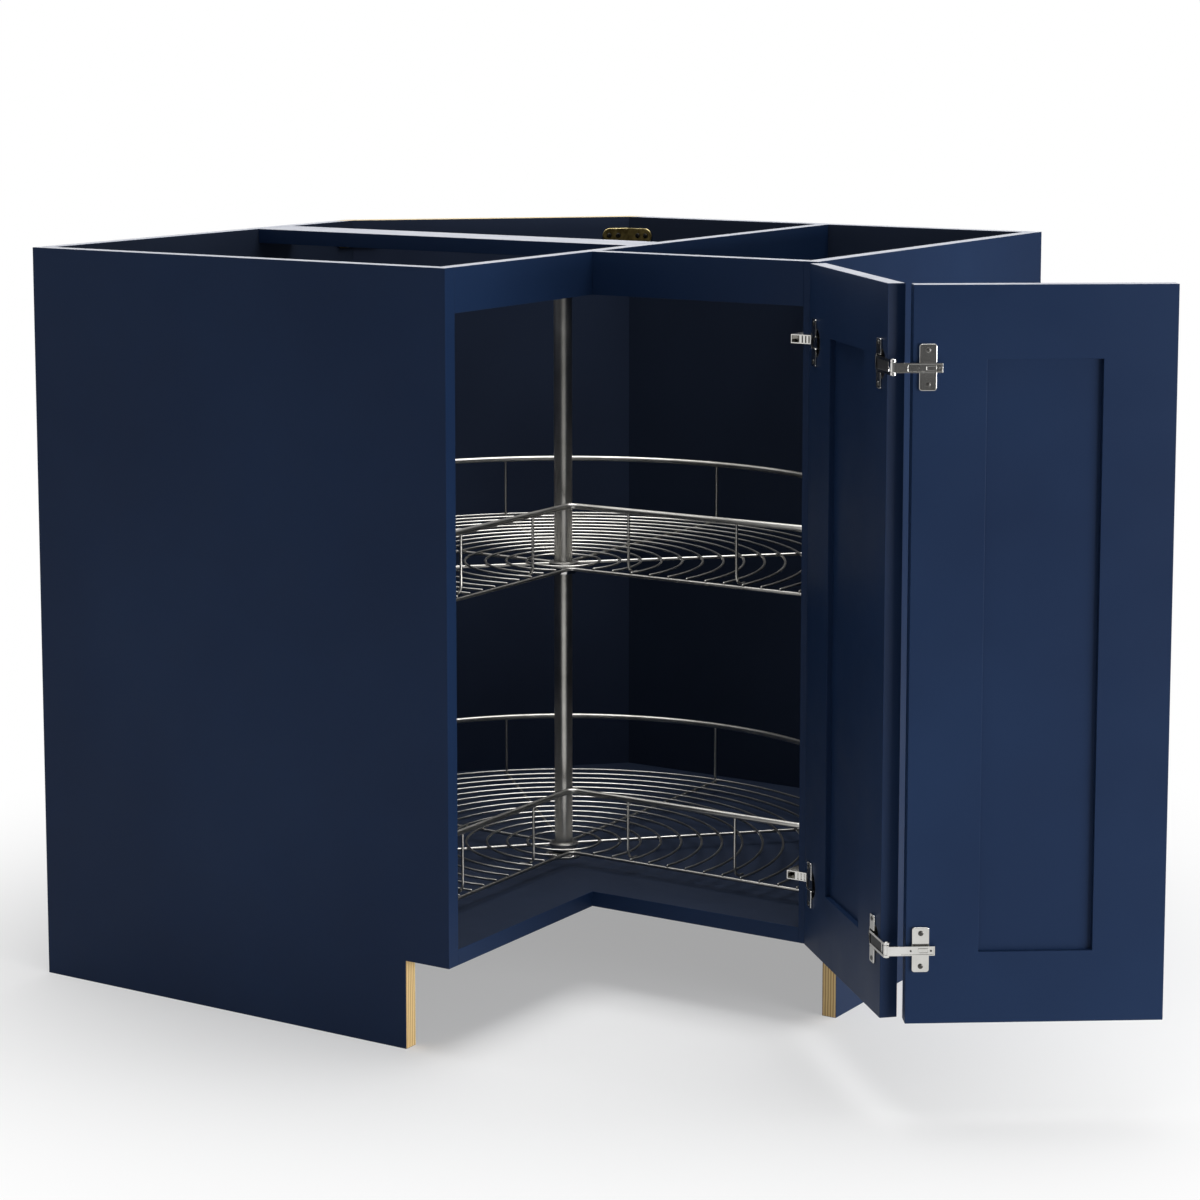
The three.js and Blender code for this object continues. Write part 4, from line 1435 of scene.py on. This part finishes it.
@dataclass
class CabinetHinge(CupHinge):
    """The pair that hangs the first leaf on the right side board."""

    arm_thickness: float = 11.5
    arm_length: float = 42.0
    arm_rim: float = 1.0
    arm_mouth: float = 16.0
    strap: float = 2.0
    cup_inset: float = 22.5
    opening: float = 12.0
    bridge: float = 0.4
    grooves: int = 3
    groove_pitch: float = 4.2
    groove_width: float = 2.4
    groove_depth: float = 1.6
    link_half_width: float = 2.4
    link_tail: float = 6.0
    pocket_room: float = 0.9
    pocket_depth: float = 9.0
    cam: PanHead = PanHead(2.3, 1.4)
    cam_reach: float = 27.0
    cam_slot_half: Pair = (6.0, 2.6)
    cam_slot_depth: float = 2.0
    depth_screw: PanHead = PanHead(2.6, 1.6)
    depth_screw_place: tuple[float, float, float] = (5.5, 12.0, 3.4)
    plate_screw: PanHead = PanHead(3.0, 1.2)

    @property
    def cup_place(self) -> float:
        """The cup's middle along the shut leaf."""
        return LAYOUT.outer_edge - self.cup_inset

    def build(self) -> None:
        """Make both hinges."""
        for end, z in self.heights.items():
            self.leaf_half(end, "swing", self.cup_and_links(z))
            self.cabinet_half(end, z)
            node = f"{end}_cabinet_hinge_pin"
            self.rivet(f"{end}_swing_pin", LAYOUT.swing_pin, z, Rides.CABINET, node, HERE)

    def pocket(self, z: float) -> Blank:
        """The room cut in the first leaf for the turning links.

        Args:
            z: the height of the hinge that the room is for.

        Returns:
            The shape to cut out.
        """
        reach = self.link_start + self.link_steel + self.pocket_room
        a = (self.cup_place + self.cup_radius / 2.0, LAYOUT.outer_edge + 1.0)
        b = (LAYOUT.inner_front - 1.0, LAYOUT.inner_front + self.pocket_depth)
        return Blank().block(a, b, (z - reach, z + reach))

    def cup_and_links(self, z: float) -> Blank:
        """The cup and its straight links.

        Args:
            z: the hinge's height.

        Returns:
            The cup and the links.
        """
        pin_a, pin_b = LAYOUT.swing_pin
        half = self.link_half_width
        bar = rectangle((self.cup_place - self.link_tail, pin_b - half), (pin_a, pin_b + half))
        cup = self.cup(self.cup_place, z, self.opening, self.bridge)
        return cup.added(self.links(bar, LAYOUT.swing_pin, z))

    def cabinet_half(self, end: str, z: float) -> None:
        """The channel-shaped arm, clipped on its screwed plate.

        Args:
            end: lower or upper.
            z: the hinge's height.
        """
        plate_face = LAYOUT.inside_face - self.plate_steel
        arm_face = plate_face - self.arm_thickness
        strap_back = LAYOUT.depth + LAYOUT.fit
        strap_front = strap_back + self.strap
        back = strap_back - self.arm_length
        pin_a, pin_b = LAYOUT.swing_pin
        half = self.arm_half
        arm = [
            (arm_face, back),
            (plate_face, back),
            (plate_face, strap_back),
            (pin_a, strap_back),
            (pin_a, pin_b),
            (pin_a - self.knuckle + LAYOUT.fit, pin_b),
            (pin_a - self.knuckle + LAYOUT.fit, strap_front),
            (arm_face, strap_front),
        ]
        blank = Blank().prism(arm, Push.UP, z - half, z + half)
        blank.joined(self.eye(LAYOUT.swing_pin, z - half, z + half))
        inner = (z - half + self.arm_rim, z + half - self.arm_rim)
        mouth = (arm_face + self.arm_rim, plate_face - self.arm_rim)
        blank.cut(Blank().block(mouth, (strap_front - self.arm_mouth, strap_front + 1.0), inner))
        for groove in range(self.grooves):
            start = plate_face + 2.0 + groove * self.groove_pitch
            deep = (strap_front - self.groove_depth, strap_front + 1.0)
            blank.cut(Blank().block((start, start + self.groove_width), deep, inner))
        cam_place = strap_back - self.cam_reach
        long, high = self.cam_slot_half
        slot = rounded((cam_place - long, z - high), (cam_place + long, z + high), 1.6, 4)
        slot_floor = arm_face + self.cam_slot_depth
        blank.cut(Blank().prism(slot, Push.ALONG_A, arm_face - 1.0, slot_floor)).eased(0.45)
        blank.added(self.cam.on(seat(slot_floor, cam_place, z) @ AGAINST_A))
        inward, behind, below = self.depth_screw_place
        blank.added(self.depth_screw.on(seat(arm_face + inward, strap_back - behind, z - below)))
        hinge = (Rides.CABINET, Slot.HINGE, [BRIGHT_NICKEL, DARK_STEEL])
        blank.piece(f"{end}_swing_arm", *hinge, [f"{end}_cabinet_hinge_arm"])

        middle = back + self.arm_length / 2.0
        plate = self.plate(middle, z, plate_face, LAYOUT.inside_face)
        tongue = rounded((back, z - half), (LAYOUT.depth, z + half), 1.5, 3)
        plate.joined(Blank().prism(tongue, Push.ALONG_A, plate_face, LAYOUT.inside_face)).eased(0.5)
        self.plate_screws(plate, self.plate_screw, middle, z, plate_face)
        plate.piece(f"{end}_swing_plate", *hinge, [f"{end}_cabinet_hinge_plate"])


@dataclass
class FoldHinge(CupHinge):
    """The pair that folds the second leaf on the first."""

    arm_thickness: float = 4.3
    arm_length: float = 29.5
    knuckle: float = 3.5
    cup_inset: float = 22.5
    opening: float = 18.0
    plate_inset: float = 15.2
    link_nose: float = 5.0
    link_tail: float = 9.0
    link_bevel: float = 2.0
    link_sunk: float = 6.0
    shade_sheet_start: float = 9.0
    shade_sheet_past: float = 2.0
    shade_sheet_sunk: float = 1.0
    shade_sheet_thickness: float = 1.2
    tray_start: float = 14.0
    tray_rim: float = 1.2
    tray_depth: float = 0.7
    cam_start: Pair = (17.5, 3.0)
    cam_end: Pair = (6.5, 2.6)
    cam_rim: float = 1.1
    plate_screw: PanHead = PanHead(2.8, 1.0)
    rivet_places: Pair = (4.0, 25.0)

    @property
    def cup_place(self) -> float:
        """The cup's middle along the shut leaf."""
        return LAYOUT.fold_edge + self.cup_inset

    def build(self) -> None:
        """Make both hinges."""
        for end, z in self.heights.items():
            self.leaf_half(end, "fold", self.cup_and_links(z))
            self.second_half(end, z)
            node = f"{end}_fold_hinge_pin"
            self.rivet(f"{end}_fold_pin", LAYOUT.fold_pin, z, Rides.FIRST_LEAF, node, FIRST_LEAF_PLACE)

    def cup_and_links(self, z: float) -> Blank:
        """The cup, its cranked links and a dark nylon sheet between them, a painted shade for the gap between
        the links.

        Args:
            z: the hinge's height.

        Returns:
            The cup and the links.
        """
        face, cup = LAYOUT.inner_front, self.cup_place
        under = face - self.knuckle
        nose, tail, sunk = cup + self.link_nose, cup - self.link_tail, face + self.link_sunk
        bar = [
            (face, under),
            (nose - self.link_bevel, under),
            (nose, under + self.link_bevel),
            (nose, sunk),
            (tail, sunk),
            (tail, face - LAYOUT.fit),
            (face, face - LAYOUT.fit),
        ]
        blank = self.cup(cup, z, self.opening).added(self.links(bar, LAYOUT.fold_pin, z))
        reach = self.link_start + 0.4
        # a dark nylon sheet between the links: painted shade for the gap
        shade_sheet_face = under + self.shade_sheet_sunk
        along, thick = (face + self.shade_sheet_start, cup + self.shade_sheet_past), (shade_sheet_face, shade_sheet_face + self.shade_sheet_thickness)
        link_shade_sheet = Blank().block(along, thick, (z - reach, z + reach), 2)
        return blank.added(link_shade_sheet.eased(0.4))

    def second_half(self, end: str, z: float) -> None:
        """The flat arm and its screwed plate, on the second leaf's inner face.

        Args:
            end: lower or upper.
            z: the hinge's height.
        """
        face = LAYOUT.inner_front
        plate_face = face - LAYOUT.fit - self.plate_steel
        arm_back = plate_face - LAYOUT.fit
        arm_face = arm_back - self.arm_thickness
        tip = LAYOUT.fold_edge + self.arm_length
        half = self.arm_half
        arm = [
            (arm_face, face),
            (face, face),
            (face, face + self.knuckle),
            (arm_back, face + 2.0 * self.knuckle),
            (arm_back, tip),
            (arm_face, tip),
        ]
        blank = Blank().prism(arm, Push.UP, z - half, z + half)
        blank.joined(self.eye(LAYOUT.fold_pin, z - half, z + half))
        rim = self.tray_rim
        tray = rounded((face + self.tray_start, z - half + rim), (tip - rim, z + half - rim), 0.8, 3)
        tray_floor = arm_face + self.tray_depth
        blank.cut(Blank().prism(tray, Push.ALONG_A, arm_face - 1.0, tray_floor)).eased(0.45)
        # the bright frame round the depth cam
        low = (tip - self.cam_start[0], z - self.cam_start[1])
        high = (tip - self.cam_end[0], z + self.cam_end[1])
        rim = self.cam_rim
        hole = rounded((low[0] + rim, low[1] + rim), (high[0] - rim, high[1] - rim), 0.5, 3)
        cam = Blank().prism(rounded(low, high, 0.8, 3), Push.ALONG_A, arm_face, arm_face + 1.0)
        cam.cut(Blank().prism(hole, Push.ALONG_A, arm_face - 1.0, arm_face + 0.8))
        blank.added(cam.eased(0.2))
        for reach in self.rivet_places:
            rivet = [(0.0, 0.0), (1.2, 0.0), (1.0, 0.6), (0.0, 0.8)]
            blank.added(Blank().turned(rivet, seat(tray_floor, tip - reach, z) @ AGAINST_A, 20, 1))
        hinge = (Rides.SECOND_LEAF, Slot.HINGE, [BRIGHT_NICKEL, DARK_STEEL])
        blank.piece(f"{end}_fold_arm", *hinge, [f"{end}_fold_hinge_arm"], SECOND_LEAF_PLACE)

        middle = LAYOUT.fold_edge + self.plate_inset
        plate = self.plate(middle, z, plate_face, face).eased(0.7, 3)
        self.plate_screws(plate, self.plate_screw, middle, z, plate_face)
        plate.piece(f"{end}_fold_plate", *hinge, [f"{end}_fold_hinge_plate"], SECOND_LEAF_PLACE)


@dataclass
class Leaf:
    """A shaker door leaf: a square-edged frame round a flat panel, set in the middle."""

    name: str
    body: Rides
    push: Push
    place: Matrix
    frame_width: float = 76.0
    panel_thickness: float = 7.0
    easing: float = 0.6
    bores: list[Blank] = field(default_factory=list)

    def build(self) -> None:
        """Make the frame and the panel."""
        front = (LAYOUT.inner_front, LAYOUT.inner_front + LAYOUT.leaf_thickness)
        outer = ((LAYOUT.fold_edge, LAYOUT.leaf_bottom), (LAYOUT.outer_edge, LAYOUT.leaf_top))
        low = (outer[0][0] + self.frame_width, outer[0][1] + self.frame_width)
        high = (outer[1][0] - self.frame_width, outer[1][1] - self.frame_width)
        blank = Blank().window(outer, (low, high), self.push, front)
        near_top = LAYOUT.leaf_top - 1.0
        # the leaf's top edge takes the pale grey painted highlight
        blank.tag(1, lambda normal, middle: normal.z > SQUARELY and middle.z > near_top)
        blank.eased(self.easing)
        for bore in self.bores:
            blank.cut(bore)
        parts = ("fold_stile", "outer_stile", "bottom_rail", "top_rail")
        self.part("frame", blank, [LACQUER, TOP_EDGE_HIGHLIGHT], parts)

        middle, half = (front[0] + front[1]) / 2.0, self.panel_thickness / 2.0
        blank = Blank().prism(rectangle(low, high), self.push, middle - half, middle + half)
        self.part("field", blank, [LACQUER], ["panel"])

    def part(self, name: str, blank: Blank, finishes: Sequence[Finish], nodes: Sequence[str]) -> None:
        """Finish a part of the leaf.

        Args:
            name: the piece's name after the leaf's own.
            blank: the part, as the leaf is shut.
            finishes: its finishes, by their numbers.
            nodes: the CAD nodes that it replaces, likewise.
        """
        stands_for = [f"{self.name}_leaf_{node}" for node in nodes]
        blank.piece(f"{self.name}_leaf_{name}", self.body, Slot.PAINT, finishes, stands_for, self.place)


# ---- studio ------------------------------------------------------------------------------------
def put(name: str, data: bpy.types.ID) -> bpy.types.Object:
    """An object of the studio, linked to the scene.

    Args:
        name: its name.
        data: its mesh, lamp or camera.

    Returns:
        The object.
    """
    made = bpy.data.objects.new(name, data)
    bpy.context.scene.collection.objects.link(made)
    return made


@dataclass(frozen=True)
class Lamp:
    """A soft lamp aimed at the middle of the cabinet."""

    name: str
    place: tuple[float, float, float]
    size: Pair
    watts: float
    target: tuple[float, float, float] = (0.0, 0.0, 0.4)

    def hang(self) -> None:
        """Put the lamp in the scene."""
        data = bpy.data.lights.new(self.name, "AREA")
        data.shape = "RECTANGLE"
        data.size, data.size_y = self.size
        data.energy = self.watts
        lamp = put(self.name, data)
        lamp.location = self.place
        aim = Vector(self.target) - lamp.location
        lamp.rotation_euler = aim.to_track_quat("-Z", "Y").to_euler()


@dataclass(frozen=True)
class DarkSide:
    """An unlit side of the studio, which shows only in reflections."""

    direction: tuple[float, float, float]
    full: float  # the cosine inside which it is darkest
    clear: float  # the cosine where the white backdrop takes over
    light: float


@dataclass
class Studio:
    """A pale floor that fades to white, soft lamps, and the camera at the photograph's angle."""

    camera_a: float = 2518.5
    camera_b: float = 3616.2
    camera_z: float = 1137.8
    yaw: float = 1.0059
    pitch: float = 0.1267
    focal_pixels: float = 3122.0
    image_pixels: float = 1200.0
    principal_row: float = 420.0
    sensor: float = 36.0
    ambient: float = 0.08
    near_fade: float = 0.37
    fade_reach: Pair = (0.5, 1.2)
    fade_middle: tuple[float, float, float] = (-0.15, 0.04, 0.0)
    floor_front: float = 2.8
    floor_back: float = 1.7
    lamps: Sequence[Lamp] = (
        Lamp("side_softbox", (4.2, -0.6, 0.6), (2.6, 1.0), 135.0),
        Lamp("top_softbox", (0.1, 0.3, 3.8), (3.2, 3.2), 160.0),
    )
    dark_sides: Sequence[DarkSide] = (
        DarkSide((0.56, -0.83, 0.0), 0.93, 0.55, 0.1),
        DarkSide((0.3, 0.954, 0.0), 0.85, 0.3, 0.25),
    )

    def build(self) -> None:
        """Set the stage."""
        self.world()
        self.floor()
        for lamp in self.lamps:
            lamp.hang()
        self.camera()
        bpy.context.scene.view_settings.view_transform = "Standard"

    def camera(self) -> None:
        """Stand the camera where the photograph was taken from."""
        data = bpy.data.cameras.new("photo_camera")
        data.sensor_width = self.sensor
        data.lens = self.focal_pixels / self.image_pixels * self.sensor
        data.shift_y = (self.principal_row - self.image_pixels / 2.0) / self.image_pixels
        data.clip_end = 60.0
        camera = put("photo_camera", data)
        camera.location = TO_FRAME @ spot(self.camera_a, self.camera_b, self.camera_z)
        level = math.cos(self.pitch)
        ahead = Vector((-math.cos(self.yaw) * level, math.sin(self.yaw) * level, -math.sin(self.pitch)))
        camera.rotation_euler = ahead.to_track_quat("-Z", "Y").to_euler()
        bpy.context.scene.camera = camera

    def looks(self, tree: Tree) -> tuple[Socket, Socket]:
        """Which rays look at the backdrop.

        Args:
            tree: the nodes to add the test to.

        Returns:
            A socket that is 1 for rays that look at it straight, in a reflection or through glass, and 0
            for those that only carry light, and then one that is 1 for the first of these alone.
        """
        path = add_node(tree, "ShaderNodeLightPath").outputs
        inputs = {0: path["Is Glossy Ray"], 1: path["Is Transmission Ray"]}
        shiny = add_node(tree, "ShaderNodeMath", inputs, operation="MAXIMUM").outputs["Value"]
        inputs = {0: path["Is Camera Ray"], 1: shiny}
        either = add_node(tree, "ShaderNodeMath", inputs, operation="MAXIMUM").outputs["Value"]
        return either, path["Is Camera Ray"]

    def world(self) -> None:
        """White to the eye, and a dimmer even light to everything else.

        Reflections show the same white, but for the studio's unlit sides.
        """
        world = bpy.data.worlds.new("studio")
        world.use_nodes = True
        tree = world.node_tree
        tree.nodes.clear()
        looks, straight = self.looks(tree)
        place = add_node(tree, "ShaderNodeTexCoord").outputs["Generated"]
        shown = 1.0
        for side in self.dark_sides:
            inputs = {0: place, 1: side.direction}
            towards = add_node(tree, "ShaderNodeVectorMath", inputs, operation="DOT_PRODUCT")
            inputs = {
                "Value": towards.outputs["Value"],
                "From Min": side.full,
                "From Max": side.clear,
                "To Min": side.light,
                "To Max": 1.0,
            }
            graded = add_node(tree, "ShaderNodeMapRange", inputs, interpolation_type="SMOOTHSTEP")
            inputs = {0: graded.outputs["Result"], 1: shown}
            shown = add_node(tree, "ShaderNodeMath", inputs, operation="MINIMUM").outputs["Value"]
        strength = add_node(tree, "ShaderNodeMath", {0: shown, 1: straight}, operation="MAXIMUM")
        inputs = {"Color": linear("#f4f6ff"), "Strength": self.ambient}
        light = add_node(tree, "ShaderNodeBackground", inputs).outputs["Background"]
        inputs = {"Color": linear("#ffffff"), "Strength": strength.outputs["Value"]}
        white = add_node(tree, "ShaderNodeBackground", inputs).outputs["Background"]
        mix = add_node(tree, "ShaderNodeMixShader", {0: looks, 1: light, 2: white})
        add_node(tree, "ShaderNodeOutputWorld", {"Surface": mix.outputs["Shader"]})
        bpy.context.scene.world = world

    def floor(self) -> None:
        """A matt floor that keeps the cabinet's shadow and fades to the white backdrop."""
        paper = bpy.data.materials.new("studio_floor_paper")
        paper.use_nodes = True
        tree = paper.node_tree
        tree.nodes.clear()
        place = add_node(tree, "ShaderNodeTexCoord").outputs["Object"]
        inputs = {0: place, 1: self.fade_middle}
        away = add_node(tree, "ShaderNodeVectorMath", inputs, operation="DISTANCE")
        inputs = {
            "Value": away.outputs["Value"],
            "From Min": self.fade_reach[0],
            "From Max": self.fade_reach[1],
            "To Min": self.near_fade,
            "To Max": 1.0,
        }
        fade = add_node(tree, "ShaderNodeMapRange", inputs, interpolation_type="SMOOTHSTEP")
        looks, _ = self.looks(tree)
        inputs = {0: fade.outputs["Result"], 1: looks}
        faded = add_node(tree, "ShaderNodeMath", inputs, operation="MULTIPLY").outputs["Value"]
        grain = add_node(tree, "ShaderNodeTexNoise", {"Vector": place, "Scale": 700.0}).outputs["Fac"]
        bump = add_node(tree, "ShaderNodeBump", {"Height": grain, "Distance": 0.0002, "Strength": 0.3})
        inputs = {"Base Color": linear("#eeeeee"), "Roughness": 0.9, "Normal": bump.outputs["Normal"]}
        matt = add_node(tree, "ShaderNodeBsdfPrincipled", inputs).outputs["BSDF"]
        inputs = {"Color": linear("#ffffff"), "Strength": 1.0}
        white = add_node(tree, "ShaderNodeEmission", inputs).outputs["Emission"]
        mix = add_node(tree, "ShaderNodeMixShader", {0: faded, 1: matt, 2: white})
        add_node(tree, "ShaderNodeOutputMaterial", {"Surface": mix.outputs["Shader"]})
        mesh = bpy.data.meshes.new("studio_floor")
        front, back = -self.floor_front, self.floor_back
        corners = [(front, front, 0.0), (-front, front, 0.0), (-front, back, 0.0), (front, back, 0.0)]
        mesh.from_pydata(corners, [], [(0, 1, 2, 3)])
        mesh.materials.append(paper)
        put("studio_floor", mesh)


# ---- the whole cabinet -------------------------------------------------------------------------
def main() -> None:
    """Build the cabinet's sub-assemblies in order, and the studio round them."""
    logging.basicConfig(level=logging.INFO, format="%(name)s: %(message)s")
    Studio().build()
    Carcass().build()
    CornerBrackets().build()
    lower = WireShelf("lower", 138.0, Rides.LOWER_SHELF)
    upper = WireShelf("upper", 488.0, Rides.UPPER_SHELF)
    PoleFittings().build(lower, upper)
    lower.build()
    upper.build()
    swing = CabinetHinge({"lower": 180.0, "upper": 790.0})
    fold = FoldHinge({"lower": 184.5, "upper": 791.5})
    bores = [swing.bore(swing.cup_place, z) for z in swing.heights.values()]
    bores += [swing.pocket(z) for z in swing.heights.values()]
    bores += [fold.bore(fold.cup_place, z) for z in fold.heights.values()]
    Leaf("first", Rides.FIRST_LEAF, Push.ALONG_B, FIRST_LEAF_PLACE, bores=bores).build()
    Leaf("second", Rides.SECOND_LEAF, Push.ALONG_A, SECOND_LEAF_PLACE).build()
    swing.build()
    fold.build()


if __name__ == "__main__":
    main()
